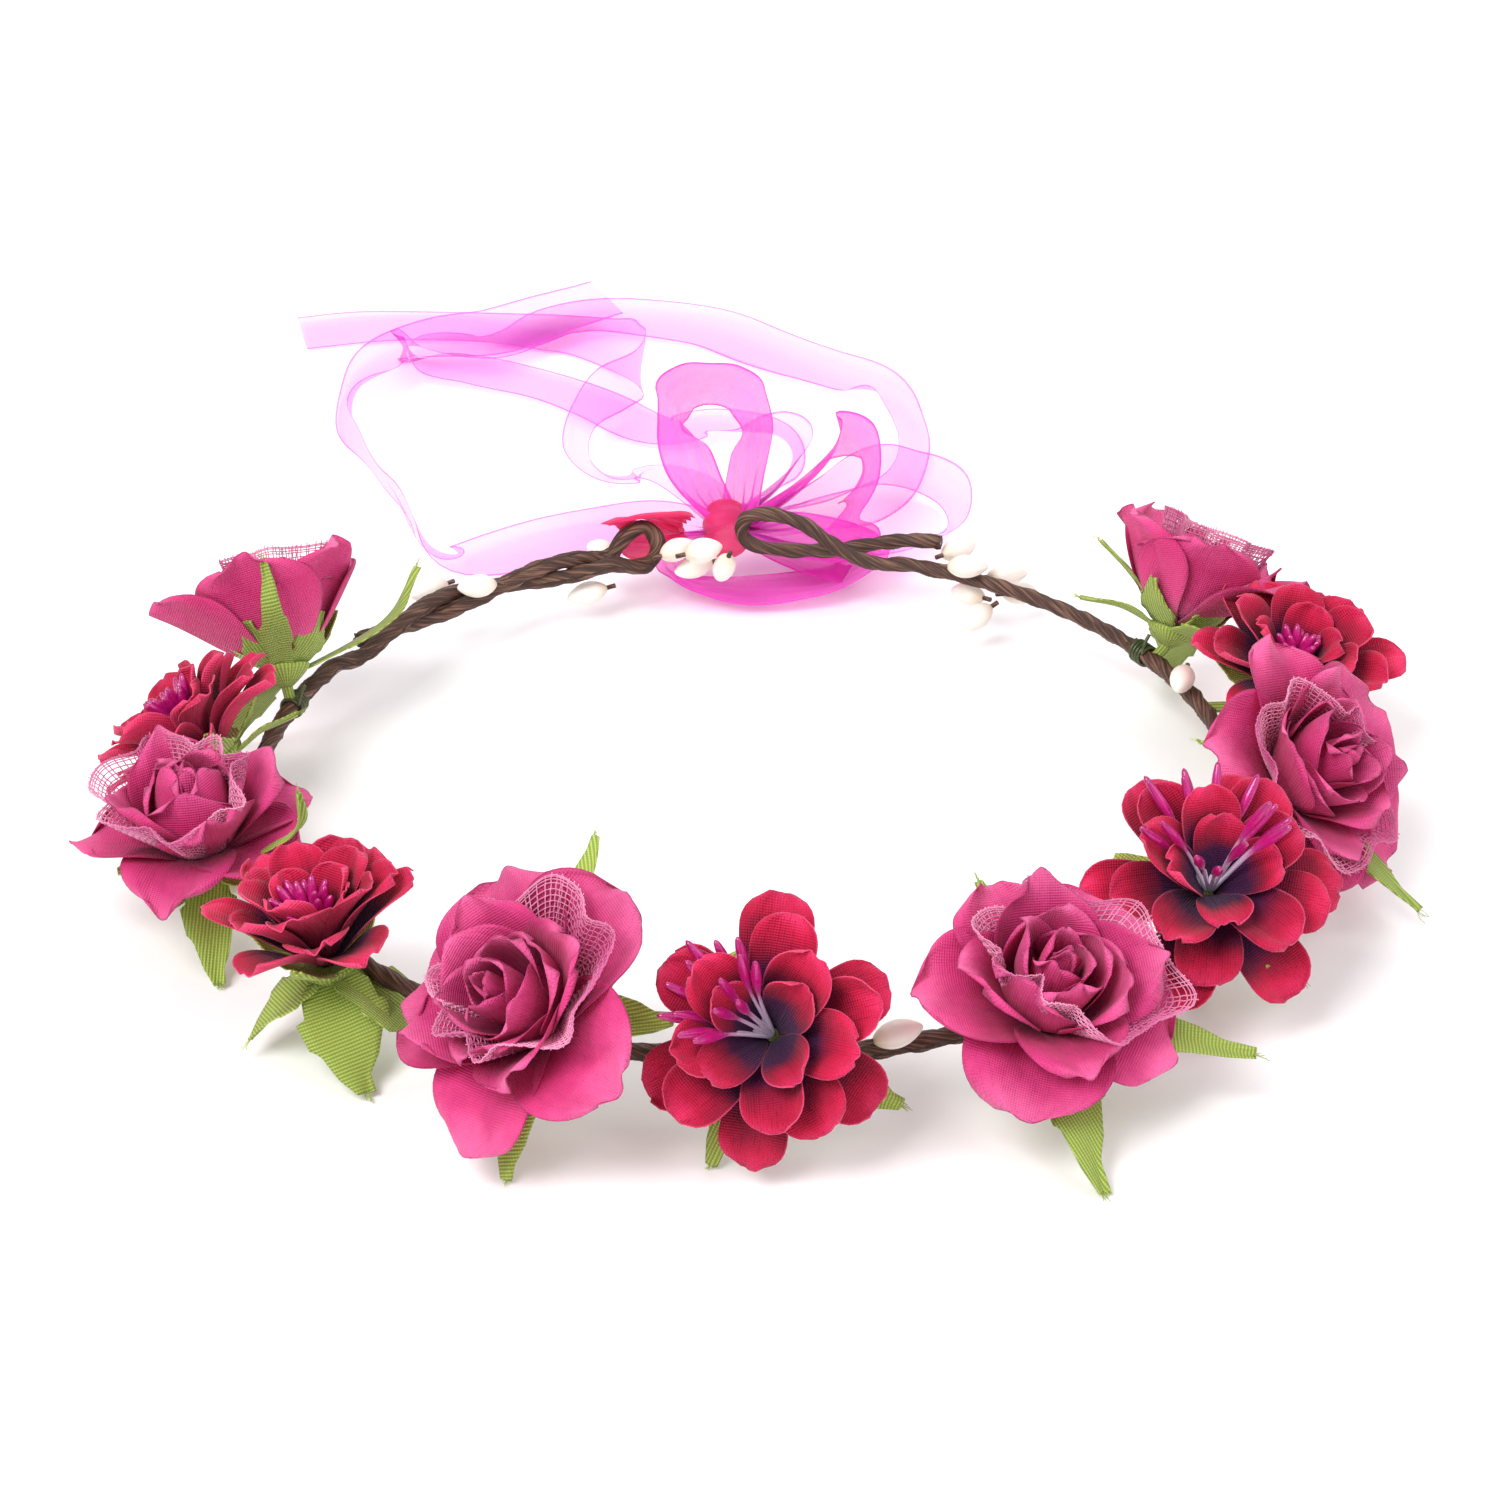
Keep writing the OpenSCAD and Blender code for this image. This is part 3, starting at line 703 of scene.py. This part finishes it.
def frayed_end(piece, rng, material, tip, ahead, side, normal, tone):
    """Loose threads at the tip of a leaf."""
    for _ in range(6):
        start = tip + side * rng.uniform(-0.4, 0.4) - ahead * 0.5
        way = unit(ahead + 0.25 * rng.uniform(-1, 1, 3))
        bow = rng.uniform(-0.4, 0.4) * normal
        reach = rng.uniform(1.2, 3.0)
        strand, _ = spline([start, start + way * reach / 2 + bow, start + way * reach], 0.5)
        strand[:, 2] = np.maximum(strand[:, 2], THREAD_Z)
        tube(piece, strand, 0.07, 4, tone, material)


def calyx_cup(piece, place, material):
    turn = around(28)
    outline = [(0.35, -0.2), (1.3, 0.2), (3.6, 2.0), (5.1, 3.6), (4.6, CALYX_H), (0.4, CALYX_H - 0.2)]
    profile, _ = spline(outline, 0.5)
    r = profile[:, 0, None] * (1 + 0.05 * np.sin(5 * turn)[None])
    z = profile[:, 1, None] + 0 * r
    grid = np.stack([r * np.cos(turn), r * np.sin(turn), z], -1)
    cloth = np.stack([turn * 4 + 0 * r, z, 0 * r], -1)
    piece.skin(place(grid), cloth, np.ones(grid.shape), 0.4, material)


def calyx(name, flower, rng, opened, material):
    """Green cup with short lobes under the petals, its long leaves, and its stem on the hoop. The
    lobes stand up along the petals of a closed flower, and so does a leaf whose tip is high."""
    piece = Piece(name + "_calyx")
    place = flower_place(flower)
    foot = np.array(flower[0], float)
    axis = place([0, 0, 1]) - foot
    calyx_cup(piece, place, material)
    for k in range(5):
        a = 2 * math.pi * (k + rng.uniform(-0.15, 0.15)) / 5
        way = np.array([math.cos(a), math.sin(a), 0])
        lift = math.radians(62 * (1 - min(opened, 1)) + rng.uniform(-12, 2))
        reach = rng.uniform(12, 15)
        start = 3.0 * way + [0, 0, CALYX_H - 0.6]
        end = start + reach * math.cos(lift) * way + [0, 0, reach * math.sin(lift)]
        normal = place(np.array([0, 0, math.cos(lift)]) - way * math.sin(lift)) - foot
        leaf(piece, rng, material, place(start), place(end), normal, LEAF_W * 0.8, -1.0, fray=False)
    for tip in flower[4]:
        reach = np.array(tip[:3], float) - foot
        away = unit(reach - axis * (reach @ axis))
        start = foot + 2.6 * axis + 1.5 * away
        width = LEAF_W * (tip[3] if len(tip) > 3 else 1)
        if reach @ axis > STANDING:
            leaf(piece, rng, material, start, tip[:3], away, width, 7.5)
        else:
            leaf(piece, rng, material, start, tip[:3], axis, width, rng.uniform(0.5, 2.0))
    hoop = np.array(on_hoop(math.degrees(math.atan2(foot[1], foot[0]))))
    stem, _ = spline([hoop, (hoop + foot) / 2, foot + 0.8 * axis], 0.7)
    tube(piece, stem, 1.1, 10, 0.3, material)
    piece.make("garland")


# ---- flowers
# A flower is [foot, azimuth and elevation of its axis, turn about it, tips of its long leaves]. The
# fourth number of a tip, where it has one, is the leaf's width as a share of the usual one.
ROSES = [
    [(-89, 27, 18), 105, 52, 0, [(-66, 60, 27), (-91.5, 25, 46.5, 0.6), (-104, 34, 0.5)]],
    [(-98, -33, 14), -125, 84, 20, [(-79, -41, 35, 0.6), (-94, -50, 0.5)]],
    [(-31, -91, 20), -141, 44, 10, [(-26, -60, 38, 0.7), (-43, -66, 29), (-12, -98, 26), (-40, -108, 0.5)]],
    [(49, -84, 15), -65, 66, 30, [(40, -62, 30, 0.8), (59, -112, 0.5, 1.25), (86, -88, 12)]],
    [(95, -15, 20), -34, 38, 0, [(84, -4, 24), (122, -34, 6)]],
    [(83, 47, 16), 52, 60, 40, [(66, 53, 24), (70, 58, 34, 0.6), (96, 34, 20, 1.4), (86, 66, 0.5)]],
]
CRIMSONS = [
    [(-96.5, 1, 14), 160, 44, 0, [(-108, 12, 0.5), (-85, 10, 22)]],
    [(-72, -67, 12), 160, 80, 20, [(-86, -72, 4, 1.5), (-65, -84, 1, 1.6), (-52, -74, 3, 1.4)]],
    [(5, -93, 19), -100, 38, 0, [(-6, -104, 0.5), (26, -97, 8)]],
    [(80, -52, 19), -82, 54, 30, [(98, -56, 6)]],
    [(104, 31, 12), -60, 75, 0, [(97, 20, 14), (118, 44, 0.5)]],
]
# How far each rose is open, how many times further its outer petals open, how far its heart is
# still a bud, the angle of its first petal, its droop, and where its netting spreads most.
ROSE_FORMS = [
    (0.1, 1.0, 0.0, 10, (26, 90), 230),
    (0.55, 1.9, 1.0, 0, (0, 0), 320),
    (0.85, 1.0, 0.0, 6, (10, 0), 150),
    (0.9, 1.0, 0.3, 10, (15, -40), 90),
    (0.85, 1.0, 0.0, 20, (10, 0), 285),
    (0.15, 1.0, 0.0, 30, (16, 270), 260),
]
# How far each crimson flower is open, its droop, where its stamens lean to in the row frame, and
# how long they are and how far they spread.
CRIMSON_FORMS = [
    (0.55, (25, 150), (-0.2, 0.1, 0.4), (14, 0.35)),
    (0.3, (15, 90), (-0.2, -0.2, 0.3), (14, 0.45)),
    (0.9, (10, 0), (-0.85, 0.35, 0.5), (21, 0.6)),
    (0.85, (15, 0), (-0.15, 0.35, 0.75), (22, 0.85)),
    (0.65, (0, 0), (0, 0, 0), (11, 0.4)),
]
# Rings of petals in a rose's heart, from the outside in: how many, the first angle, length, width,
# lean, foot, wrap and roll.
HEART_RINGS = [
    (3, 15, 18.5, 23, (26, 92, 66), (3.5, HEART_Z - 2), (8, 11.5), 3.0),
    (3, 70, 18, 19, (36, 96, 76), (2.5, HEART_Z - 1), (6, 8.2), 2.0),
    (3, 25, 17, 14, (56, 98, 86), (1.5, HEART_Z), (3.6, 4.8), 1.0),
    (2, 90, 16, 8, (80, 93, 94), (0.9, HEART_Z), (1.8, 2.4), 0.0),
]
# What a bud adds to the leans of its heart's petals.
BUD_LEAN = (0, 8, 45)
# Rings of a crimson flower's petals, from the outside in: how many, the first angle, how far each
# may be turned, their leans when closed and when wide open, length, width, foot and wrap.
CRIMSON_RINGS = [
    (6, 0, 4, (58, 56, 44), (24, 6, -14), 22, 12.6, (1.2, BOWL_Z), (7, 12)),
    (5, 33, 6, (62, 62, 54), (38, 24, 6), 20.5, 12.4, (1.2, BOWL_Z + 0.9), (6, 10)),
    (5, 8, 9, (70, 72, 62), (52, 42, 24), 19, 12, (1.3, BOWL_Z + 1.8), (5, 9)),
    (4, 50, 14, (80, 78, 72), (60, 56, 40), 15, 10, (1.3, BOWL_Z + 2.7), (5, 8)),
]
CRIMSON_PETAL = dict(
    narrow=0.2, widest=0.76, close=0.86, tip=0.02, skew=0.6, crease=0.15, ruffle=0.8, size=(19, 19))


def rose_bowl(piece, place, rng, material, form):
    """The two outer rings of a rose's petals."""
    opened, follow, bud, first, droop, _ = form
    ring_of_petals(
        piece, place, rng, material, 5, first, droop=droop, length=25.5 - 4 * bud, width=27 - 5 * bud,
        lean=between((30, 88, 58), (34, 8, -14), opened * follow), foot=(1.6, BOWL_Z), wrap=(12, 26),
        tip=0.07 + 0.15 * bud, skew=1.2, ruffle=1.6, roll=2.2, size=(27, 23))
    ring_of_petals(
        piece, place, rng, material, 4, first + 38, droop=droop, length=21.5, width=21,
        lean=between((34, 92, 72), (34, 62, 34), opened), foot=(2.6, BOWL_Z + 1.0), wrap=(10, 17),
        tip=0.2, point=1.4, skew=1.2, ruffle=1.2, roll=2.5)


def rose_heart(piece, place, rng, material, bud):
    for count, first, length, width, lean, foot, wrap, roll in HEART_RINGS:
        lean = [a + bud * b for a, b in zip(lean, BUD_LEAN)]
        ring_of_petals(piece, place, rng, material, count, first, length=length, width=width, lean=lean,
                       foot=foot, wrap=wrap, roll=roll, tip=0.14, point=1.5, narrow=0.5, skew=1.3)


def rose(number, flower, form, looks):
    name = f"rose_{number}"
    rng = np.random.default_rng(40 + number)
    place = flower_place(flower)
    opened, follow, bud, _, _, widest = form
    outer = Piece(name + "_outer_petals")
    rose_bowl(outer, place, rng, looks["rose"], form)
    outer.make("garland")
    frill = Piece(name + "_mesh_frill")
    netting(frill, place, rng, looks["netting"], opened, widest)
    frill.make("garland")
    heart = Piece(name + "_heart")
    rose_heart(heart, place, rng, looks["rose"], bud)
    heart.make("garland")
    calyx(name, flower, rng, opened * follow, looks["leaf"])


def stamens(piece, place, lean, spray, rng, material, count):
    """A bunch of beaded stamens; spray is how long they are and how far they spread."""
    foot = place([0, 0, HEART_Z - 0.5])
    middle = unit(place([0, 0, 1]) - place([0, 0, 0]) + np.array(lean, float))
    side = unit(np.cross(middle, [0.3, 0.1, 1.0]))
    other = np.cross(middle, side)
    for k in range(count):
        a = 2 * math.pi * (k * 0.618 + rng.uniform(-0.03, 0.03))
        out = math.cos(a) * side + math.sin(a) * other
        way = unit(middle + spray[1] * (0.3 + 0.7 * math.sqrt((k + 0.5) / count)) * out)
        reach = spray[0] * rng.uniform(0.88, 1.06)
        start = foot + 0.5 * out
        line, at = spline([start, start + way * reach * 0.55 - 0.9 * out, start + way * reach], 0.45)
        v = at / at[-1]
        bead = np.clip((v - 0.55) / 0.45, 0, 1)
        radius = 0.32 + 0.12 * np.clip(1 - v / 0.4, 0, 1) + 0.6 * np.sin(math.pi * bead**1.2) ** 0.8
        radius[-1] = 0.12
        tube(piece, line, radius, 9, rng.uniform(0, 1), material)


def crimson(number, flower, form, looks):
    name = f"crimson_{number}"
    rng = np.random.default_rng(70 + number)
    place = flower_place(flower)
    opened, droop, lean, spray = form
    petals = Piece(name + "_petals")
    for count, first, jitter, closed, wide, length, width, foot, wrap in CRIMSON_RINGS:
        ring_of_petals(petals, place, rng, looks["crimson"], count, first, jitter, droop, length=length,
                       width=width, lean=between(closed, wide, opened), foot=foot, wrap=wrap,
                       **CRIMSON_PETAL)
    petals.make("garland")
    bunch = Piece(name + "_stamens")
    stamens(bunch, place, lean, spray, rng, looks["stamen"], 15)
    bunch.make("garland")
    calyx(name, flower, rng, opened, looks["leaf"])


# ---- pip buds
# Each bud is the foot of its egg, and the point where its stem leaves the wire.
BUDS = {
    "front_buds": [((21, -91.5, 17), (17, -92.5, 16.2)), ((78, -49, 10), (78, -49, 12.2)),
                   ((-92, -28, 9), (-88, -27, 12.2)), ((85.6, 34.2, 18.3), (86, 35.6, 18.3))],
    "left_buds": [((-61.4, 77.6, 14), (-60.2, 78.6, 14)), ((-50.8, 70.7, 17.5), (-49.4, 71.4, 17.3)),
                  ((-27, 92.6, 12), (-25.8, 91.5, 12)), ((-29, 87, 8), (-27.4, 87.4, 8.3))],
    "left_tip_buds": [((-18, 85.8, 16), (-19.4, 84.6, 16)), ((-13, 82.6, 18), (-14.6, 81.8, 18)),
                      ((-7.3, 92.7, 11), (-6, 93.5, 11)), ((-3.8, 83, 17.5), (-3.5, 82.4, 18.6))],
    "right_buds": [((40.2, 86.8, 15.6), (39, 85.9, 15.6)), ((40.7, 77, 18.2), (39.2, 77, 18.2)),
                   ((49.1, 80.3, 14), (47.6, 80, 14)), ((52.8, 83.2, 8.5), (51.5, 82.5, 8.8)),
                   ((48.8, 79, 9.8), (50, 77.9, 10)), ((50.2, 75.5, 9.8), (51.4, 76.1, 10.4))],
}


def buds(node, body, looks):
    """Egg-shaped buds, a little dented, with a short wrapped stem each."""
    rng = np.random.default_rng(len(node) * 7)
    piece = Piece(node)
    sides = 20
    turn = around(sides)[None]
    v = np.linspace(0.02, 0.985, 22)
    for foot, start in BUDS[node]:
        foot, start = np.array(foot, float), np.array(start, float)
        way = unit(foot - start)
        fat = rng.uniform(0.92, 1.06)
        radius = BUD_R * fat * np.sin(math.pi * v) ** 0.62 * (1.1 - 0.22 * v)
        line = foot + way * (v * BUD_L * rng.uniform(0.95, 1.03))[:, None]
        round_dents = np.sin(2 * turn + rng.uniform(0, 6))
        dents = 1 + 0.03 * round_dents * np.sin(5 * v + rng.uniform(0, 6))[:, None]
        tube(piece, line, radius[:, None] * dents, sides, rng.uniform(0, 1), looks["bud"], along=v)
        stem, _ = spline([start, (start + foot) / 2, foot + 0.6 * way], 0.5)
        tube(piece, stem, 0.5, 8, 0.5, looks["paper"])
    piece.make(body)


# ---- wire
# Routes of the wire round the loop at the end of each arm.
LEFT_EYE = [(-24, 87.5, 12.6), (-20.6, 90, 12), (-18.8, 92.4, 14), (-19.4, 94, 16.8), (-22, 94, 18.6),
            (-25.6, 92.2, 17)]
RIGHT_EYE = [(27.5, 87.2, 13.4), (22, 88.6, 14.4), (17, 90, 17), (11.5, 91.8, 20.4), (6, 93, 21.8),
             (1.6, 93.8, 21.6), (-0.8, 94.2, 19.6), (-1, 94, 16.6), (2, 93.4, 14.4), (8, 93.2, 13.6),
             (15, 93.2, 13.4), (21, 92.8, 14.2), (28, 91, 16.4), (34, 89.4, 17.8), (40, 87.4, 18.4)]


def hoop_route(first, last, count):
    return [on_hoop(a) for a in np.linspace(first, last, count)]


def twist_strand(first, last, start):
    """One of two strands that turn round each other, in contact, along the hoop."""
    points = []
    for a in np.linspace(first, last, int(abs(last - first) / 3) + 1):
        turn = math.radians(start + 180 * (a - TWIST_TO) / TWIST_PITCH)
        points.append(on_hoop(a, WRAP_R * math.cos(turn), WRAP_R * math.sin(turn)))
    return points


def paper_wire(piece, route, seed, looks, wire_r=WRAP_R):
    """Wire in twisted paper: lengthwise pleats that turn round it, and a torn end."""
    rng = np.random.default_rng(seed)
    line, at = spline(route, 0.8)
    at = at[:, None]
    sides = 22
    turn = around(sides)[None]
    helix = turn + 0.42 * at
    wander = smooth_random(rng, at / 9, 6)
    radius = wire_r * (1 + 0.1 * np.sin(2 * helix + wander) + 0.06 * np.sin(5 * helix - 0.3 * at))
    radius = radius + 0.1 * smooth_random(rng, at / 4 + turn, 7)
    radius[-2:] *= rng.uniform(0.6, 1.15, (2, sides))
    tube(piece, line, radius, sides, rng.uniform(0, 1), looks["paper"])


def arm(body, route, seed, looks, wire_r=WRAP_R):
    """An arm's wrap of twisted paper along its route, made as an object of its own with its transform baked
    into its mesh."""
    piece = Piece(body + "_wrap")
    paper_wire(piece, route, seed, looks, wire_r)
    made = piece.make(None)
    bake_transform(made)


def binding(node, first, step, looks):
    """Wire wound round the hoop from the angle first, step degrees a turn, with a free end."""
    lift = WRAP_R + 0.42
    line = []
    for turns in np.linspace(0, 4.4, 130):
        a = 2 * math.pi * turns
        line.append(on_hoop(first + step * turns, lift * math.cos(a), lift * math.sin(a)))
    end = np.array(line[-1])
    line += [end + (0.5, 0.8, 2.0), end + (1.4, 1.6, 3.6)]
    piece = Piece(node)
    tube(piece, spline(line, 0.35)[0], 0.36, 8, 0.5, looks["binding"])
    piece.make("garland")


def make_wires(looks):
    garland = Piece("garland_wrap")
    first, last = LEFT_FLEX + FLEX_BLEND, 360 + RIGHT_FLEX - FLEX_BLEND
    paper_wire(garland, hoop_route(first, last, 60), 1, looks)
    garland.make("garland")
    left = hoop_route(LEFT_FLEX + FLEX_BLEND + 1, TWIST_FROM + 3, 5)
    left += twist_strand(TWIST_FROM - 1, TWIST_TO, 180) + LEFT_EYE
    left += twist_strand(TWIST_TO, TWIST_FROM - 3, 0)
    arm("left_arm", left, 2, looks)
    right = hoop_route(RIGHT_FLEX - FLEX_BLEND - 1, 69, 10) + RIGHT_EYE
    arm("right_arm", right, 3, looks, ARM_R)
    binding("left_binding", LEFT_FLEX + 3.4, 0.55, looks)
    binding("right_binding", RIGHT_FLEX - 3.4, -0.55, looks)


# ---- organza ribbon
# Ribbon routes: middle line and tilt about it. Tilt 0 lies flat and 90 stands on its edge.
FRONT_TAIL = [
    (-6, 105, 12, 15), (-12, 116, 7, 15), (-21, 124, 4, 15), (-32, 123, 2.4, 15), (-44, 118, 2.4, 15),
    (-53, 112, 3, 12), (-61, 105, 5, -3), (-68, 110, 7, -57), (-73, 120, 8, -75), (-77, 132, 8, -68),
    (-83, 147, 8, -72), (-88, 162, 8, -78), (-90, 177, 7.5, -120), (-88, 196, 5, -156),
    (-84, 211, 5, -177), (-73, 218, 5.6, -192), (-59, 220, 6.4, -198), (-45, 230, 7, -195),
    (-34, 237, 7.5, -192)]
BACK_TAIL = [
    (-5, 105, 14, -9), (-12, 122, 14, -9), (-20, 133, 12, -9), (-28, 134, 10, -18), (-35, 142, 9.5, -40),
    (-37, 156, 10.4, -78), (-34, 173, 10.4, -96), (-27, 183, 10.4, -99), (-24, 192, 10, -90),
    (-26, 206, 6, -100), (-38, 225, 2, -160), (-55, 231, 1.2, -174), (-74, 235, 1, -176),
    (-91, 234, 1, -176), (-107, 230, 1, -176)]
LONG_LOOP = [
    (-2, 107, 14, -132), (6, 126, 12, -130), (11, 149, 9, -105), (5, 166, 6, -20), (-7, 177, 3, -6),
    (-20, 176, 1.5, -3), (-34, 189, 1.2, 0), (-48, 200, 1.4, -2), (-63, 207, 1.8, -3), (-75, 210, 2.4, -10),
    (-81, 211.5, 4, -60), (-82, 213, 5.4, -100), (-78, 214, 6.2, -160), (-63, 214, 5, -176),
    (-54, 222, 3.8, -174), (-45, 232, 3.4, -184), (-31, 236, 3, -190), (-11, 231, 2.5, -190),
    (3, 219, 3, -192), (17, 205, 4, -189), (28, 194, 5, -183), (34, 180, 7, -144), (36, 162, 8, -130),
    (35, 144, 8, -105), (29, 130, 8, -75), (19, 121, 9, -57), (0, 107, 12, -57)]
UPRIGHT_LOOP = [
    (-1, 104, 14, 42), (-1, 113, 18, 42), (1, 124, 24, 48), (1.4, 131.5, 28, 78), (-2.4, 135, 31.2, 108),
    (-8, 135.6, 32, 117), (-13.4, 135, 31.2, 106), (-16.6, 131.5, 28, 70), (-14, 125, 24, 32),
    (-11, 117, 18, 18), (-5, 104, 14, 18)]
SIDE_LOOP_INNER = [
    (0, 107, 13, -132), (8, 117, 14, -132), (15, 126, 16, -126), (19, 136, 18, -114), (23, 136, 19, -112),
    (26, 129, 18, -78), (24, 116, 16, -48), (22, 112, 10, -45), (21, 107, 5, -24), (11, 103, 8, -21),
    (-1, 104, 11, -21)]
SIDE_LOOP_OUTER = [
    (-1, 107, 12, -135), (9, 124, 10, -135), (20, 136, 9, -118), (30, 142, 9, -120), (40, 138, 8, -110),
    (45, 126, 8, -72), (42, 117, 6, -34), (34, 113, 5, -21), (25, 109, 5, -21), (11, 107, 7, -21),
    (-2, 105, 11, -21)]
DROOP_LOOP = [
    (-8, 103, 11, 60), (-15, 100, 7.5, 35), (-13, 98, 4, 22), (-7, 97.4, 2.6, 12), (0, 97.2, 2, 5),
    (9, 98, 2.2, 5), (18, 100, 3, 10), (24, 104, 5.5, 25), (12, 105.5, 9, 50), (-1, 105.5, 12, 70)]
EYE_BAND = [
    (-13, 100.6, 13.4, 75), (-16, 99.6, 13, 70), (-23, 96.6, 14, 62), (-26.4, 94.4, 17.4, 45),
    (-23.6, 94, 20.4, 25), (-18, 96, 19.8, 30), (-13, 100, 16.6, 60)]


def ribbon(name, route, body, node, material, seed, gather, width=RIBBON_W):
    """A ribbon along its route, gathered into pleats at its start and end by the shares in gather."""
    rng = np.random.default_rng(seed)
    line, at = spline(route, 1.0)
    points, tilt = line[:, :3], np.radians(line[:, 3])[:, None]
    tangent = unit(np.gradient(points, axis=0))
    flat = unit(np.cross(tangent, [0.0, 0.0, 1.0]))
    rise = np.cross(flat, tangent)
    across = np.cos(tilt) * flat + np.sin(tilt) * rise
    normal = np.cross(across, tangent)
    pull = gather[0] * np.exp(-at / 9) + gather[1] * np.exp(-(at[-1] - at) / 9)
    pull = np.clip(pull, 0, 1)[None, :]
    w = np.linspace(-1, 1, 25)[:, None]
    half = width / 2 * (1 - 0.74 * pull)
    phase = rng.uniform(0, 6.28, 4)
    pleats = 1.5 * pull**0.8 * np.sin(4.2 * math.pi * w + phase[0] + at / 22)
    soft = 0.35 * np.sin(at / 11 + 2.2 * w + phase[1]) + 0.22 * np.sin(at / 6.3 - 3 * w + phase[2])
    crown = 0.5 * np.sin(at / 27 + phase[3]) * (1 - w**2)
    lift = pleats + (soft + crown) * (1 - pull)
    grid = points[None] + (w * half)[..., None] * across[None] + lift[..., None] * normal[None]
    grid[..., 2] = np.maximum(grid[..., 2], THREAD_Z)
    cloth = np.stack([w * width / 2 + 0 * at, at + 0 * w, 0 * w * at], -1)
    edge = width / 2 * (1 - np.abs(w)) + 0 * at
    marks = np.stack([w + 0 * at, at / at[-1] + 0 * w, edge], -1)
    piece = Piece(name)
    piece.sheet(grid, RIBBON_T, cloth, marks, rng.uniform(0, 1), material, backs=False)
    made = piece.make(body, node)


def make_knot(material):
    """The bow's knot: ribbon pulled tight in folds round its middle."""
    v = np.linspace(0, 1, 40)[:, None]
    turn = around(48)[None]
    r = KNOT_R * np.sin(math.pi * np.clip(v, 0.04, 0.96)) ** 0.55
    folds = 0.28 * np.sin(26 * v + 1.6 * np.sin(turn) + 0.7 * np.sin(2 * turn))
    radius = r * (1 + 0.07 * np.sin(2 * turn + 0.8)) + folds * (r / KNOT_R)
    z = KNOT_HALF_L * np.cos(math.pi * (1 - v)) + 0 * radius
    grid = np.stack([radius * np.cos(turn), radius * np.sin(turn), z], -1)
    tilt = math.radians(-50)
    c, s = math.cos(tilt), math.sin(tilt)
    grid = grid @ np.array([[1, 0, 0], [0, c, s], [0, -s, c]]) + np.array(KNOT)
    cloth = np.stack([z, turn * KNOT_R + 0 * radius, 0 * radius], -1)
    piece = Piece("ribbon_knot")
    piece.skin(grid, cloth, np.full(grid.shape, 5.0), 0.5, material)
    piece.make("right_arm")


def make_ribbons(looks):
    for name, route, node, look, seed, gather in (
            ("front_tail", FRONT_TAIL, "front_tail", "organza", 11, (1, 0)),
            ("back_tail", BACK_TAIL, "back_tail", "organza", 12, (1, 0)),
            ("long_loop", LONG_LOOP, "long_loop", "organza", 13, (1, 1)),
            ("upright_loop", UPRIGHT_LOOP, "upright_loop", "organza_bow", 14, (1, 1)),
            ("side_loop_inner", SIDE_LOOP_INNER, "side_loops", "organza_bow", 15, (1, 1)),
            ("side_loop_outer", SIDE_LOOP_OUTER, "side_loops", "organza", 16, (1, 1)),
            ("droop_loop", DROOP_LOOP, "side_loops", "organza_bow", 17, (1, 1))):
        ribbon(name, route, "right_arm", node, looks[look], seed, gather)
    ribbon("eye_band", EYE_BAND, "left_arm", "eye_band", looks["organza_tight"], 18, (0.6, 0.6),
           width=EYE_BAND_W)
    make_knot(looks["organza_tight"])


# ---- the whole crown
def make_looks():
    return {
        "rose": petal_cloth(
            "rose_cloth",
            front=[(0, (112, 4, 52)), (0.35, (180, 24, 94)), (0.7, (222, 62, 132)),
                   (1, (246, 108, 168))],
            # The back ramp's pale base is a painted highlight; beyond it the ramp is the back's own colour.
            back=[(0, (252, 128, 180)), (0.3, (238, 78, 144)), (0.7, (218, 54, 124)),
                  (1, (232, 84, 150))],
            edge_colour=(124, 16, 66), edge_w=0.25, edge_share=0.5, glow=0.2),
        "crimson": petal_cloth(
            "crimson_cloth",
            front=[(0, (58, 16, 72)), (0.5, (70, 8, 66)), (0.66, (146, 8, 52)),
                   (0.84, (202, 18, 68)), (1, (226, 44, 98))],
            back=[(0, (90, 10, 60)), (0.25, (204, 24, 78)), (0.6, (230, 46, 100)),
                  (1, (240, 64, 116))],
            edge_colour=(240, 100, 144), edge_w=0.28, edge_share=0.35, glow=0.18),
        "netting": netting_thread(),
        "leaf": leaf_cloth(),
        "stamen": stamen_pearl(),
        "bud": bud_pip(),
        "paper": crepe_paper(),
        "binding": coated_wire("binding_wire", (44, 52, 30), (96, 104, 70), 0.4),
        "steel": coated_wire("steel_core", (110, 112, 116), (170, 172, 176), 1.0),
        "organza": organza("organza", 0.2, 0.42, (250, 60, 226), (255, 120, 240)),
        "organza_bow": organza("organza_bow", 0.46, 0.45, (250, 40, 210), (255, 96, 230)),
        "organza_tight": organza("organza_tight", 0.75, 0.2, (240, 26, 110), (255, 70, 150)),
    }


make_camera()
looks = make_looks()
make_studio()
make_ribbons(looks)
make_wires(looks)
for number, (flower, form) in enumerate(zip(ROSES, ROSE_FORMS), 1):
    rose(number, flower, form, looks)
for number, (flower, form) in enumerate(zip(CRIMSONS, CRIMSON_FORMS), 1):
    crimson(number, flower, form, looks)
buds("front_buds", "garland", looks)
buds("left_buds", "left_arm", looks)
buds("left_tip_buds", "left_arm", looks)
buds("right_buds", "right_arm", looks)
for node in ("garland_core", "left_arm_core", "right_arm_core"):
    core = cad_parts[node]
    core.data.materials.clear()
    core.data.materials.append(looks["steel"])
